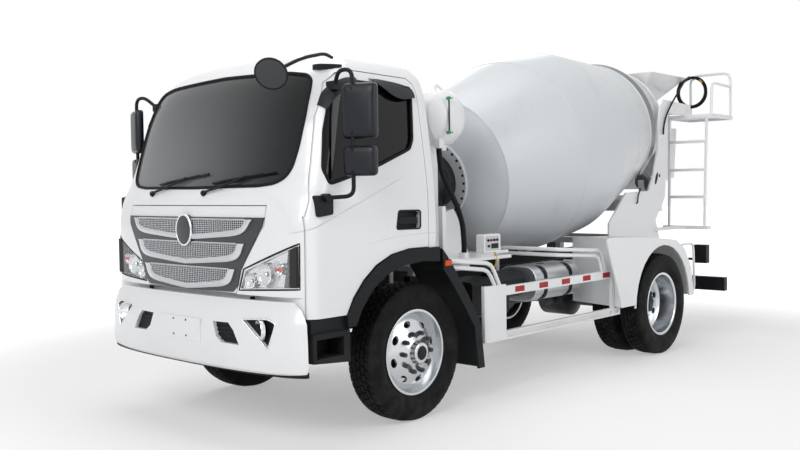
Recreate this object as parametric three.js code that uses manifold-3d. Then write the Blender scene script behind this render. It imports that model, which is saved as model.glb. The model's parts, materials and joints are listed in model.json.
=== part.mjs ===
// Concrete mixer truck: a forward-control two-axle lorry with a tilting cab and a drum mixer body.
// Millimetres, +Z up, +Y towards the tail, +X towards the truck's left side.
// Every piece is laid out from the front axle (y = 0) and the centre plane (x = 0), on the ground (z = 0).
import * as THREE from 'three';
import { mergeVertices } from 'three/addons/utils/BufferGeometryUtils.js';
import Module from 'manifold-3d';

const wasm = await Module();
wasm.setup();

// ---- driving dimensions -------------------------------------------------------------------------
const GAP = 0.3;               // seat gap between two pieces that touch
const RUN = 6;                 // clearance round a piece that moves
const PIN_PLAY = 0.3;          // radial play of a pin in its bore
// A bore whose flats clear a pin of radius r however far the pin has turned.
const boreRadius = (r, sides) => (r + PIN_PLAY) / Math.cos(Math.PI / sides);

// wheels
const WHEELBASE = 3360;
const TYRE_R = 476;
const TYRE_HALF_W = 115;
const RIM_SEAT_R = 286.5;      // bead seat of the rim
const RIM_LIP_R = 298.5;
const RIM_HALF_W = 93;
const WHEEL_SIDES = 20;
const FRONT_WHEEL_X = 879;     // middle of a front tyre
const TWIN_X = 891;            // middle of a pair of twin tyres
const TWIN_HALF_PITCH = 145;
const KINGPIN_X = 745;
const KINGPIN_R = 18;

// chassis frame
const RAIL_IN = 365;
const RAIL_OUT = 425;
const RAIL_BOTTOM = 620;
const RAIL_TOP = 830;
const FRAME_FRONT = -930;
const FRAME_REAR = 4850;
const SUBFRAME_FRONT = 560;
const SUBFRAME_TOP = 920;

// cab
const CAB_HALF = 1080;
const CAB_FRONT = -1168;
const CAB_REAR = 150;
const CAB_FLOOR = 820;
const CAB_ROOF = 2525;
const CAB_WALL = 45;
const CAB_FRONT_WALL = 90;
const CAB_CHIN = 955;          // underside of the front panel, above the bumper
const ARCH_TOP = 1200;         // underside of the cab over the wheel and the engine
const TILT_Y = -980;
const TILT_Z = 640;
const TILT_PIN_R = 15;
const DOOR_FRONT = -1050;
const DOOR_REAR = 30;
const DOOR_WALL = 44;
const HINGE_R = 5;
const FLAP_TOP = 1512;
const FLAP_WALL = 28;
const LAMP_DEPTH = 40;

// drum and what carries it
const DRUM_TILT = 11.36 * Math.PI / 180;
const DRUM_Y = 600;            // a point on the drum's axis
const DRUM_Z = 1517;
const DRUM_FRONT = 782;        // distances along the axis from that point
const DRUM_HEAD = 948;
const DRUM_SEAM_1 = 1830;
const DRUM_SEAM_2 = 2490;
const DRUM_MOUTH = 4000;
const DRUM_RING = 3521;
const DRUM_FLANGE_R = 343;
const DRUM_HEAD_R = 674;
const DRUM_SEAM_1_R = 902;
const DRUM_SEAM_2_R = 916;
const DRUM_MOUTH_R = 560;
const DRUM_RING_R = 700;
const DRUM_WALL = 16;
const DRUM_SIDES = 32;
const ROLLER_R = 80;
const ROLLER_HALF_W = 40;
const ROLLER_ANGLE = 42 * Math.PI / 180;
const ROLLER_PIN_R = 20;

// rear body
const SUPPORT_X = 690;         // outer face of the rear support's side plates
const SUPPORT_PLATE = 20;
const ARM_BOTTOM = 2360;       // underside of the support's top arms
const PLATFORM_REAR = 5330;
const PLATFORM_IN = 500;
const PLATFORM_OUT = 1000;
const LADDER_Y = 4765;
const CHUTE_Y = 4930;
const CHUTE_PIN_Z = 1200;
const CHUTE_LENGTH = 1050;
const CHUTE_HALF_W = 200;

// sides
const MUDGUARD_OUT = 1150;
const GUARD_X = 1040;
const GUARD_FRONT = 700;
const GUARD_REAR = 2660;
const TANK_Y = 640;            // water tank's axis
const TANK_Z = 2130;
const TANK_R = 205;
const TANK_HALF = 850;

const NOSE_Y = -1240;          // bumper's front
const TAIL_Y = 5350;           // hopper's rear edge

const WHITE = [0xf4f5f6, 0.35, 0.0];
const DRUM_GREY = [0xd4d7da, 0.35, 0.0];
const BLACK = [0x15171b, 0.6, 0.0];
const RUBBER = [0x18191b, 0.85, 0.0];
const DARK_STEEL = [0x2b2d31, 0.5, 0.6];
const SILVER = [0xc4c7ca, 0.3, 0.9];
const GLASS = [0x30343a, 0.05, 0.0];
const LENS = [0xdfe4e8, 0.05, 0.0];
const SEAT = [0x3a3d42, 0.8, 0.0];

// ---- solids ---------------------------------------------------------------------------------------
function solid(geometry) {
  let plain = geometry.clone();
  for (const name of Object.keys(plain.attributes)) {
    if (name !== 'position') plain.deleteAttribute(name);
  }
  plain = mergeVertices(plain, 1e-3);
  const source = plain.index.array;
  const kept = [];
  for (let i = 0; i < source.length; i += 3) {
    const [a, b, c] = [source[i], source[i + 1], source[i + 2]];
    if (a !== b && b !== c && c !== a) kept.push(a, b, c);
  }
  return new wasm.Manifold(new wasm.Mesh({
    numProp: 3,
    vertProperties: Float32Array.from(plain.attributes.position.array),
    triVerts: Uint32Array.from(kept),
  }));
}

const join = (...parts) => parts.flat().reduce((a, b) => a.add(b));
const cut = (body, ...tools) => tools.flat().reduce((a, b) => a.subtract(b), body);
const common = (...parts) => parts.reduce((a, b) => a.intersect(b));

function geometryOf(body) {
  const mesh = body.getMesh();
  const geometry = new THREE.BufferGeometry();
  const points = new Float32Array(mesh.numVert * 3);
  for (let i = 0; i < mesh.numVert; i += 1) {
    for (let k = 0; k < 3; k += 1) points[3 * i + k] = mesh.vertProperties[i * mesh.numProp + k];
  }
  geometry.setAttribute('position', new THREE.BufferAttribute(points, 3));
  geometry.setIndex(new THREE.BufferAttribute(Uint32Array.from(mesh.triVerts), 1));
  geometry.computeVertexNormals();
  return geometry;
}

function box(x0, x1, y0, y1, z0, z1) {
  const geometry = new THREE.BoxGeometry(x1 - x0, y1 - y0, z1 - z0);
  geometry.translate((x0 + x1) / 2, (y0 + y1) / 2, (z0 + z1) / 2);
  return solid(geometry);
}

const bothSides = (make) => [make(1), make(-1)];
const sideBox = (side, x0, x1, ...rest) => (side > 0 ? box(x0, x1, ...rest) : box(-x1, -x0, ...rest));

// A polygon swept along one axis. Its points are (y, z) for 'x', (x, z) for 'y' and (x, y) for 'z'.
function prism(points, axis, from, to) {
  const shape = new THREE.Shape(points.map(([a, b]) => new THREE.Vector2(a, b)));
  const geometry = new THREE.ExtrudeGeometry(shape, { depth: to - from, bevelEnabled: false });
  const X = new THREE.Vector3(1, 0, 0);
  const Y = new THREE.Vector3(0, 1, 0);
  const Z = new THREE.Vector3(0, 0, 1);
  const turn = new THREE.Matrix4();
  if (axis === 'x') {
    turn.makeBasis(Y, Z, X).setPosition(from, 0, 0);
  } else if (axis === 'y') {
    turn.makeBasis(X, Z, Y.negate()).setPosition(0, to, 0);
  } else {
    turn.setPosition(0, 0, from);
  }
  geometry.applyMatrix4(turn);
  return solid(geometry);
}

const mirrorX = (body) => {
  const geometry = geometryOf(body);
  geometry.scale(-1, 1, 1);
  const index = geometry.index.array;
  for (let i = 0; i < index.length; i += 3) {
    const first = index[i];
    index[i] = index[i + 1];
    index[i + 1] = first;
  }
  return solid(geometry);
};
const onSide = (side, body) => (side > 0 ? body : mirrorX(body));

// A profile of (distance along the axis, radius) pairs turned about +X, one facet facing down.
function turnedX(profile, sides, closed = false) {
  const points = profile.map(([u, r]) => new THREE.Vector2(r, u));
  if (closed) points.push(points[0].clone());
  const geometry = new THREE.LatheGeometry(points, sides, Math.PI / sides, Math.PI * 2);
  geometry.rotateZ(-Math.PI / 2);
  const body = solid(geometry);
  return body.volume() < 0 ? solid(flipped(geometry)) : body;
}

function flipped(geometry) {
  const copy = geometry.clone();
  const index = copy.index.array;
  for (let i = 0; i < index.length; i += 3) {
    const first = index[i];
    index[i] = index[i + 1];
    index[i + 1] = first;
  }
  return copy;
}

// The same about the drum's tilted axis: distances run from the axis point towards the mouth.
function turnedDrum(profile, sides, closed = false) {
  const points = profile.map(([s, r]) => new THREE.Vector2(r, s));
  if (closed) points.push(points[0].clone());
  const geometry = new THREE.LatheGeometry(points, sides, Math.PI / sides, Math.PI * 2);
  geometry.rotateX(DRUM_TILT);
  geometry.translate(0, DRUM_Y, DRUM_Z);
  const body = solid(geometry);
  return body.volume() < 0 ? solid(flipped(geometry)) : body;
}

function rod(a, b, r, sides = 10) {
  const from = new THREE.Vector3(...a);
  const to = new THREE.Vector3(...b);
  const geometry = new THREE.CylinderGeometry(r, r, from.distanceTo(to), sides);
  const along = to.clone().sub(from).normalize();
  geometry.applyQuaternion(new THREE.Quaternion().setFromUnitVectors(new THREE.Vector3(0, 1, 0), along));
  const middle = from.add(to).multiplyScalar(0.5);
  geometry.translate(middle.x, middle.y, middle.z);
  return solid(geometry);
}

// A route through chosen points, each corner rounded, swept by a round section.
class Route extends THREE.Curve {
  constructor(points) {
    super();
    this.points = points;
  }

  getUtoTmapping(u) {
    return u;
  }

  getPoint(t, target = new THREE.Vector3()) {
    const at = t * (this.points.length - 1);
    const i = Math.min(Math.floor(at), this.points.length - 2);
    return target.lerpVectors(this.points[i], this.points[i + 1], at - i);
  }

  getTangent(t, target = new THREE.Vector3()) {
    const i = Math.round(t * (this.points.length - 1));
    const here = this.points[i];
    if (i > 0) target.add(here.clone().sub(this.points[i - 1]).normalize());
    if (i < this.points.length - 1) target.add(this.points[i + 1].clone().sub(here).normalize());
    return target.normalize();
  }
}

function roundedRoute(points, radius, steps = 2) {
  const corners = points.map((p) => new THREE.Vector3(...p));
  const route = [corners[0]];
  for (let i = 1; i < corners.length - 1; i += 1) {
    const back = corners[i - 1].clone().sub(corners[i]);
    const ahead = corners[i + 1].clone().sub(corners[i]);
    const reach = Math.min(radius, back.length() * 0.45, ahead.length() * 0.45);
    const bend = new THREE.QuadraticBezierCurve3(
      corners[i].clone().addScaledVector(back.normalize(), reach),
      corners[i],
      corners[i].clone().addScaledVector(ahead.normalize(), reach),
    );
    route.push(...bend.getPoints(steps));
  }
  route.push(corners[corners.length - 1]);
  return route;
}

function sweep(route, r, sides = 8) {
  const shape = new THREE.Shape();
  for (let k = 0; k < sides; k += 1) {
    const angle = (k + 0.5) * 2 * Math.PI / sides;
    const [a, b] = [r * Math.cos(angle), r * Math.sin(angle)];
    if (k === 0) shape.moveTo(a, b);
    else shape.lineTo(a, b);
  }
  shape.closePath();
  const geometry = new THREE.ExtrudeGeometry(shape, {
    steps: route.length - 1,
    bevelEnabled: false,
    extrudePath: new Route(route),
  });
  return solid(geometry);
}

const tube = (points, r, radius = 60, sides = 6) => sweep(roundedRoute(points, radius), r, sides);

// Rings of equal point count, lowest first, closed into one body.
function loft(rings) {
  const count = rings[0].length;
  const points = rings.flat();
  const index = [];
  for (let k = 0; k < rings.length - 1; k += 1) {
    for (let i = 0; i < count; i += 1) {
      const a = k * count + i;
      const b = k * count + (i + 1) % count;
      index.push(a, b, b + count, a, b + count, a + count);
    }
  }
  const last = (rings.length - 1) * count;
  for (let i = 1; i < count - 1; i += 1) {
    index.push(0, i + 1, i, last, last + i, last + i + 1);
  }
  const geometry = new THREE.BufferGeometry();
  geometry.setAttribute('position', new THREE.BufferAttribute(new Float32Array(points.flat()), 3));
  geometry.setIndex(index);
  return solid(geometry);
}

// An open-ended funnel of rectangles, each { z, x, y0, y1 }, lowest first.
function funnel(sections, wall, stands = []) {
  const ring = (s, inset, z) => [
    [s.x - inset, s.y0 + inset, z],
    [s.x - inset, s.y1 - inset, z],
    [-s.x + inset, s.y1 - inset, z],
    [-s.x + inset, s.y0 + inset, z],
  ];
  const outer = loft(sections.map((s) => ring(s, 0, s.z)));
  const end = sections.length - 1;
  const inner = loft(sections.map((s, i) => ring(s, wall, s.z + (i === 0 ? -1 : 0) + (i === end ? 1 : 0))));
  return cut(join(outer, stands), inner);
}

// ---- cab shape --------------------------------------------------------------------------------------
// Heights with the half width lost there, how far the front has moved back, the depth over which the
// front rounds into the side, and how far the back has moved forward.
const CAB_SECTIONS = [
  { z: CAB_FLOOR, narrow: 0, back: 3, bow: 200, rear: 0 },
  { z: 1350, narrow: 0, back: 0, bow: 200, rear: 0 },
  { z: 1520, narrow: 3, back: 22, bow: 210, rear: 0 },
  { z: 1640, narrow: 12, back: 70, bow: 225, rear: 0 },
  { z: 1760, narrow: 26, back: 106, bow: 240, rear: 0 },
  { z: 2050, narrow: 66, back: 183, bow: 250, rear: 0 },
  { z: 2230, narrow: 95, back: 250, bow: 250, rear: 3 },
  { z: 2330, narrow: 122, back: 306, bow: 250, rear: 12 },
  { z: 2410, narrow: 178, back: 386, bow: 250, rear: 38 },
  { z: 2470, narrow: 290, back: 486, bow: 220, rear: 96 },
  { z: 2505, narrow: 450, back: 600, bow: 190, rear: 175 },
  { z: CAB_ROOF, narrow: 700, back: 750, bow: 150, rear: 300 },
];
const BOW_POWER = 2.5;
const BOW_STEPS = 5;
const REAR_CORNER = 70;
const REAR_STEPS = 2;

function planRing(half, front, rear, bow, z) {
  const right = [];
  for (let i = 0; i <= BOW_STEPS; i += 1) {
    const angle = (i / BOW_STEPS) * Math.PI / 2;
    const x = half * Math.sin(angle) ** (2 / BOW_POWER);
    const y = front + bow - bow * Math.cos(angle) ** (2 / BOW_POWER);
    right.push([x, y, z]);
  }
  const corner = Math.min(REAR_CORNER, half / 2);
  for (let i = 0; i <= REAR_STEPS; i += 1) {
    const angle = (i / REAR_STEPS) * Math.PI / 2;
    right.push([half - corner + corner * Math.cos(angle), rear - corner + corner * Math.sin(angle), z]);
  }
  const left = right.slice(1).reverse().map(([x, y]) => [-x, y, z]);
  return [...right, ...left];
}

const ROOF_STARTS = 2300;
function cabLoft(side, front, rear, top = side, sections = CAB_SECTIONS) {
  return loft(sections.map((s) => planRing(
    CAB_HALF - s.narrow - side,
    CAB_FRONT + s.back + front,
    CAB_REAR - s.rear - rear,
    s.bow,
    s.z - (s.z > ROOF_STARTS ? top : 0),
  )));
}
const cabSkin = (inset) => cabLoft(inset, inset, inset);

// The skin's right-hand plan outline at a height, and where it crosses a given y or x.
function skinLine(z) {
  const above = CAB_SECTIONS.findIndex((s) => s.z > z);
  const [low, high] = [CAB_SECTIONS[above - 1], CAB_SECTIONS[above]];
  const at = (key) => THREE.MathUtils.mapLinear(z, low.z, high.z, low[key], high[key]);
  const ring = planRing(CAB_HALF - at('narrow'), CAB_FRONT + at('back'), CAB_REAR - at('rear'), at('bow'), z);
  return ring.slice(0, BOW_STEPS + 1);
}
function crossing(line, known, wanted, value) {
  const i = line.findIndex((p) => p[known] >= value);
  const [before, after] = [line[i - 1], line[i]];
  return THREE.MathUtils.mapLinear(value, before[known], after[known], before[wanted], after[wanted]);
}
const skinX = (y, z) => crossing(skinLine(z), 1, 0, y);
const skinY = (x, z) => crossing(skinLine(z), 0, 1, x);

// The cab's underside: footwell, wheel arch, then flat over the engine.
const UNDERSIDE = [
  [-760, CAB_FLOOR],
  [-700, CAB_FLOOR + 100],
  [-607, ARCH_TOP - 176],
  [-489, ARCH_TOP - 88],
  [-344, ARCH_TOP - 28],
  [-169, ARCH_TOP],
];
const aboveUnderside = (lift, reach = 400) => [
  [CAB_FRONT - reach, CAB_FLOOR + lift],
  ...UNDERSIDE.map(([y, z]) => [y - lift * 0.3, z + lift]),
  [CAB_REAR + reach, ARCH_TOP + lift],
  [CAB_REAR + reach, CAB_ROOF + reach],
  [CAB_FRONT - reach, CAB_ROOF + reach],
];

// Side view of the door, and of its window, as (y, z).
const doorOutline = (inset) => [
  [DOOR_FRONT + inset, CAB_FLOOR + inset],
  ...UNDERSIDE.slice(0, 5).map(([y, z], i) => [y - (i < 1 ? 0 : inset * 0.6), z + inset]),
  [-169, ARCH_TOP + inset],
  [DOOR_REAR - inset, ARCH_TOP + inset],
  [DOOR_REAR - inset, 2250],
  [DOOR_REAR - 20 - inset, 2310 - inset],
  [DOOR_REAR - 70 - inset, 2350 - inset],
  [-560, 2362 - inset],
  [-690 + inset, 2335 - inset],
  [-770 + inset, 2270],
  [-866 + inset, 2050],
  [-944 + inset, 1760],
  [DOOR_FRONT + inset, 1430],
];
const windowOutline = (inset) => [
  [-880 + inset, 1632 + inset],
  [-800, 1648 + inset],
  [-417, 1752 + inset],
  [-110, 1862 + inset],
  [-70 - inset, 1930],
  [-22 - inset, 2285 - inset],
  [-600, 2292 - inset],
  [-700 + inset, 2258 - inset],
  [-775 + inset, 2175],
  [-848 + inset, 1967],
  [-905 + inset, 1720],
];
const mirrored = (half) => [
  ...half,
  ...half.slice().reverse().filter(([x]) => x > 0).map(([x, z]) => [-x, z]),
];
const screenOutline = (inset) => mirrored([
  [0, 1628 + inset],
  [640, 1634 + inset],
  [770, 1648 + inset],
  [833 - inset, 1684 + inset],
  [862 - inset, 1740],
  [874 - inset, 1870],
  [872 - inset, 2050],
  [852 - inset, 2228],
  [832 - inset, 2290 - inset],
  [790, 2322 - inset],
  [640, 2345 - inset],
  [0, 2366 - inset],
]);
const flapOutline = (inset) => mirrored([
  [0, CAB_CHIN + inset],
  [500 - inset, CAB_CHIN + inset],
  [545 - inset, 1105],
  [755 - inset, 1390],
  [755 - inset, FLAP_TOP - inset],
  [0, FLAP_TOP - inset],
]);
const lampOutline = (inset) => [
  [518 + inset, 978 + inset],
  [1000 - inset, 1002 + inset],
  [1004 - inset, 1284 - inset],
  [566 + inset, 1116 - inset],
];

// ---- cab ------------------------------------------------------------------------------------------------
const HINGE_HEIGHTS = [960, 1280];
const HINGE_HALF = 30;
const HINGE_SINK = 11;         // depth of the door hinges' axis below the skin
const FLAP_SINK = 3;
const HINGE_ROOM = 4;          // recess round the other half's barrel
const HINGE_Y = DOOR_FRONT + RUN / 2;
const HINGE_X = skinX(HINGE_Y, HINGE_HEIGHTS[1]) - HINGE_SINK;

const doorPin = (side, z, from, to, r) => rod(
  [side * HINGE_X, HINGE_Y, z + from], [side * HINGE_X, HINGE_Y, z + to], r, 8,
);
const doorBarrels = (side) => HINGE_HEIGHTS.map((z) => doorPin(side, z, -HINGE_HALF, HINGE_HALF, HINGE_R));
const barrelRoom = (side) => HINGE_HEIGHTS.map(
  (z) => doorPin(side, z, -HINGE_HALF - GAP, HINGE_HALF + GAP, HINGE_R + HINGE_ROOM),
);
const doorPins = (side) => HINGE_HEIGHTS.flatMap((z) => [
  doorPin(side, z, HINGE_HALF + GAP, 2 * HINGE_HALF, HINGE_R),
  doorPin(side, z, -2 * HINGE_HALF, -HINGE_HALF - GAP, HINGE_R),
]);
const pinRoom = (side) => HINGE_HEIGHTS.flatMap((z) => [
  doorPin(side, z, HINGE_HALF, 2 * HINGE_HALF + RUN, HINGE_R + HINGE_ROOM),
  doorPin(side, z, -2 * HINGE_HALF - RUN, -HINGE_HALF, HINGE_R + HINGE_ROOM),
]);

const FLAP_HINGES = [-220, 220];
const FLAP_HINGE_Z = FLAP_TOP - 2 * RUN;
const FLAP_HINGE_Y = skinY(FLAP_HINGES[1] + 2 * HINGE_HALF, FLAP_HINGE_Z) + FLAP_SINK;
const flapPin = (x, from, to, r) => rod(
  [x + from, FLAP_HINGE_Y, FLAP_HINGE_Z], [x + to, FLAP_HINGE_Y, FLAP_HINGE_Z], r, 8,
);
const flapBarrel = (x) => flapPin(x, -HINGE_HALF, HINGE_HALF, HINGE_R);
const flapBarrelRoom = (x) => flapPin(x, -HINGE_HALF - GAP, HINGE_HALF + GAP, HINGE_R + HINGE_ROOM);
// The cab's half of a flap hinge: a pin end on each side, hung from the panel above by a lug.
const flapPins = (x) => [-1, 1].map((side) => {
  const [near, far] = [HINGE_HALF + GAP, 2 * HINGE_HALF];
  return [
    side > 0 ? flapPin(x, near, far, HINGE_R) : flapPin(x, -far, -near, HINGE_R),
    box(
      x + (side > 0 ? near : -far), x + (side > 0 ? far : -near),
      FLAP_HINGE_Y - HINGE_R + 1, FLAP_HINGE_Y + HINGE_R - 1,
      FLAP_HINGE_Z, FLAP_TOP + 4,
    ),
  ];
}).flat();
const flapPinRoom = (x) => [
  flapPin(x, HINGE_HALF, 2 * HINGE_HALF + RUN, HINGE_R + HINGE_ROOM),
  flapPin(x, -2 * HINGE_HALF - RUN, -HINGE_HALF, HINGE_R + HINGE_ROOM),
];

const HINGE_POST_TOP = 1440;
const HINGE_POST_X = 972;
// The body's corner post behind the headlamp, which the door's front edge stays clear of.
const hingePost = (clear) => prism([
  [600, CAB_FRONT - 50], [HINGE_POST_X + clear, CAB_FRONT - 50], [HINGE_POST_X + clear, -1035],
  [925 + clear, -960 + clear],
  [600, -960 + clear],
], 'z', CAB_FLOOR - 20, HINGE_POST_TOP + clear);

const BEHIND_CHIN = DOOR_FRONT - RUN;
const LUG_X = 310;
const LUG_HALF = 15;
const REAR_WINDOW = { x: 430, z0: 1740, z1: 2180 };
const DOORWAY_IN = 840;        // from here outwards the doorway is open right through

function cabInterior(clear = 0) {
  const coarse = CAB_SECTIONS.filter((_, i) => i % 2 === 1);
  const room = join(
    cabLoft(CAB_WALL + clear, CAB_FRONT_WALL + clear, CAB_WALL + clear, CAB_WALL + clear, coarse),
    cabLoft(CAB_WALL + clear, CAB_FRONT_WALL + clear, CAB_WALL + clear, CAB_WALL, CAB_SECTIONS.slice(0, 2)),
  );
  const above = prism(aboveUnderside(CAB_WALL + clear), 'x', -CAB_HALF, CAB_HALF);
  const toeboard = box(
    -CAB_HALF, CAB_HALF,
    CAB_FRONT - 200, BEHIND_CHIN + 50 + clear,
    700, CAB_CHIN + 50 + clear,
  );
  return cut(common(room, above), toeboard);
}

function cabShell() {
  const outer = common(cabSkin(0), prism(aboveUnderside(0), 'x', -CAB_HALF - 50, CAB_HALF + 50));
  const chin = box(-CAB_HALF - 50, CAB_HALF + 50, CAB_FRONT - 200, BEHIND_CHIN, 700, CAB_CHIN);
  const doorZone = cut(cabSkin(-5), cabSkin(DOOR_WALL + RUN));
  const doorways = bothSides((side) => onSide(side, cut(
    join(
      common(doorZone, prism(doorOutline(0), 'x', 500, CAB_HALF + 60)),
      common(
        prism(doorOutline(0), 'x', DOORWAY_IN, CAB_HALF + 60),
        box(0, CAB_HALF + 60, CAB_FRONT, CAB_REAR, HINGE_POST_TOP, CAB_ROOF),
      ),
      box(HINGE_POST_X, CAB_HALF + 60, DOOR_FRONT, -940, CAB_FLOOR - 10, HINGE_POST_TOP + 10),
    ),
    hingePost(0),
  )));
  const screen = prism(screenOutline(0), 'y', CAB_FRONT - 100, -650);
  const rearWindow = box(
    -REAR_WINDOW.x, REAR_WINDOW.x,
    CAB_REAR - 2 * CAB_WALL, CAB_REAR + 50,
    REAR_WINDOW.z0, REAR_WINDOW.z1,
  );
  const flapPocket = common(
    cut(cabSkin(-5), cabSkin(FLAP_WALL + RUN)),
    prism(flapOutline(0), 'y', CAB_FRONT - 100, -900),
  );
  const lampPockets = bothSides((side) => common(
    cut(cabSkin(-5), cabSkin(LAMP_DEPTH)),
    onSide(side, prism(lampOutline(0), 'y', CAB_FRONT - 100, BEHIND_CHIN)),
  ));
  const shell = cut(
    outer, cabInterior(), chin, doorways, screen, rearWindow, flapPocket, lampPockets,
    FLAP_HINGES.map(flapBarrelRoom), bothSides(barrelRoom).flat(),
  );
  const lugs = bothSides((side) => cut(
    sideBox(side, LUG_X - LUG_HALF, LUG_X + LUG_HALF, TILT_Y - 40, TILT_Y + 40, TILT_Z - 35, CAB_FLOOR + 10),
    rod([side * 250, TILT_Y, TILT_Z], [side * 370, TILT_Y, TILT_Z], boreRadius(TILT_PIN_R, 12), 12),
  ));
  return join(
    shell, lugs, FLAP_HINGES.map(flapPins).flat(),
    bothSides(doorPins).flat(),
  );
}

function windscreen() {
  const pane = cut(cabSkin(4), cabSkin(12));
  return common(pane, prism(screenOutline(0.5), 'y', CAB_FRONT - 100, -650));
}

function rearWindow() {
  return box(
    -REAR_WINDOW.x + GAP, REAR_WINDOW.x - GAP,
    CAB_REAR - 26, CAB_REAR - 18,
    REAR_WINDOW.z0 + GAP, REAR_WINDOW.z1 - GAP,
  );
}

function door(side) {
  const panel = common(
    cut(cabSkin(0), cabSkin(DOOR_WALL)),
    prism(doorOutline(RUN), 'x', 500, CAB_HALF + 60),
  );
  const opening = prism(windowOutline(0), 'x', 500, CAB_HALF + 60);
  return join(
    cut(onSide(side, cut(panel, opening, hingePost(RUN))), pinRoom(side)),
    doorBarrels(side),
  );
}

function doorGlass(side) {
  return onSide(side, common(
    cut(cabSkin(14), cabSkin(20)),
    prism(windowOutline(0.5), 'x', 500, CAB_HALF + 60),
  ));
}

function frontFlap() {
  const panel = common(
    cut(cabSkin(0), cabSkin(FLAP_WALL)),
    prism(flapOutline(RUN), 'y', CAB_FRONT - 100, -900),
  );
  return join(cut(panel, FLAP_HINGES.map(flapPinRoom).flat()), FLAP_HINGES.map(flapBarrel));
}

function headlamp(side) {
  return onSide(side, common(
    cut(cabSkin(0), cabSkin(LAMP_DEPTH - GAP)),
    prism(lampOutline(GAP), 'y', CAB_FRONT - 100, BEHIND_CHIN - GAP),
  ));
}

// Bumper: plan rings like the cab's, hollow behind.
const BUMPER_SECTIONS = [
  { z: 478, half: 1050, front: NOSE_Y + 25 },
  { z: 505, half: 1078, front: NOSE_Y + 2 },
  { z: 560, half: 1088, front: NOSE_Y },
  { z: 800, half: 1088, front: NOSE_Y + 12 },
  { z: 880, half: 1084, front: NOSE_Y + 45 },
  { z: 925, half: 1080, front: NOSE_Y + 75 },
];
const BUMPER_WALL = 40;
const BUMPER_REAR = BEHIND_CHIN - 2.5 * RUN;

function bumperLoft(inset, stretch) {
  const last = BUMPER_SECTIONS.length - 1;
  return loft(BUMPER_SECTIONS.map((s, i) => planRing(
    s.half - inset,
    s.front + inset,
    CAB_REAR,
    210,
    s.z + (i === 0 ? -stretch : 0) + (i === last ? stretch : 0),
  )));
}

function frontBumper() {
  const behind = box(-1200, 1200, BUMPER_REAR, CAB_REAR + 100, 300, 1100);
  const ring = cut(bumperLoft(0, 0), bumperLoft(BUMPER_WALL, 5), behind);
  const beam = common(bumperLoft(2, 0), box(-900, 900, -1230, -1090, 590, 640));
  const brackets = bothSides((side) => sideBox(side, 540, 600, -1190, BEHIND_CHIN - GAP, 590, 940));
  const intakes = bothSides((side) => onSide(side, prism(
    [[300, 780], [430, 780], [500, 745], [560, 645], [350, 645]], 'y', NOSE_Y - 50, -1195,
  )));
  const fogs = bothSides((side) => onSide(side, prism(
    [[715, 800], [880, 812], [880, 712], [760, 700]], 'y', NOSE_Y - 50, -1130,
  )));
  const body = cut(join(ring, beam), intakes, common(join(fogs), bumperLoft(-50, 50)));
  const lamps = bothSides((side) => common(
    onSide(side, prism([[705, 815], [890, 825], [890, 700], [750, 688]], 'y', NOSE_Y, -1080)),
    cut(bumperLoft(16, 0), bumperLoft(BUMPER_WALL + 5, 5)),
  ));
  return join(body, brackets, lamps);
}

// Step box ahead of the wheel and the black flare round the arch, under the cab's edge.
function step(side) {
  const boxTop = CAB_FLOOR - GAP;
  const upper = prism([[-1040, 725], [-752, 725], [-752, boxTop], [-1040, boxTop]], 'x', 800, 1060);
  const lower = prism([[-1044, 560], [-735, 534], [-738, 735], [-1044, 735]], 'x', 800, 1084);
  const pocket = box(930, 1100, -1015, -790, 585, 700);
  const edge = UNDERSIDE.map(([y, z]) => [y, z - GAP]);
  const flareInner = [
    [100, 1100], [-55, 1112], [-247, 1092], [-395, 1052], [-539, 960], [-633, 850], [-690, 750],
  ];
  const flare = prism(
    [...edge, [CAB_REAR - 20, ARCH_TOP - GAP], [CAB_REAR - 20, 1100], ...flareInner, [-760, 750]],
    'x', 1030, 1094,
  );
  const liner = prism(
    [...edge, [CAB_REAR - 20, ARCH_TOP - GAP], [CAB_REAR - 20, ARCH_TOP - 18],
      [-160, ARCH_TOP - 18], [-338, 1152], [-480, 1094], [-594, 1010], [-684, 910], [-742, 812]],
    'x', 760, 1032,
  );
  return onSide(side, cut(join(upper, lower, flare, liner), pocket));
}

// Door mirrors: one bent tube carries the main and the wide-angle head.
const MIRROR_X = CAB_HALF + 110;
const MIRROR_Y = -790;
function mirrorHead(z0, z1, half, depth) {
  const outline = [
    [-half, z0 + 25], [-half + 25, z0], [half - 25, z0], [half, z0 + 25],
    [half, z1 - 25], [half - 25, z1], [-half + 25, z1], [-half, z1 - 25],
  ];
  const geometry = geometryOf(prism(outline, 'y', -depth, depth));
  geometry.rotateZ(20 * Math.PI / 180);
  geometry.translate(MIRROR_X + 38, MIRROR_Y + 22, 0);
  return solid(geometry);
}

function mirror(side) {
  const arm = tube([
    [CAB_HALF - 95, -740, 2245], [CAB_HALF - 5, -790, 2330], [MIRROR_X, MIRROR_Y, 2320],
    [MIRROR_X, MIRROR_Y, 1560], [CAB_HALF + 20, -930, 1552],
  ], 13, 55);
  const foot = box(CAB_HALF - 60, CAB_HALF + 48, -1000, -868, 1430, 1570);
  const topFoot = box(CAB_HALF - 150, CAB_HALF - 70, -768, -712, 2215, 2275);
  const heads = [mirrorHead(1905, 2240, 112, 32), mirrorHead(1680, 1862, 108, 28)];
  return onSide(side, cut(join(arm, foot, topFoot, heads), cabSkin(-GAP)));
}

// Round blind-spot mirror on an arm over the left front corner of the roof.
function cornerMirror() {
  const dish = rod([905, -1170, 2300], [925, -1200, 2278], 104, 20);
  const arm = tube([[860, -640, 2440], [900, -740, 2452], [930, -960, 2400], [914, -1182, 2290]], 11, 60);
  const foot = box(790, 930, -760, -610, 2340, 2446);
  return cut(join(dish, arm, foot), cabSkin(-GAP));
}

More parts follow.
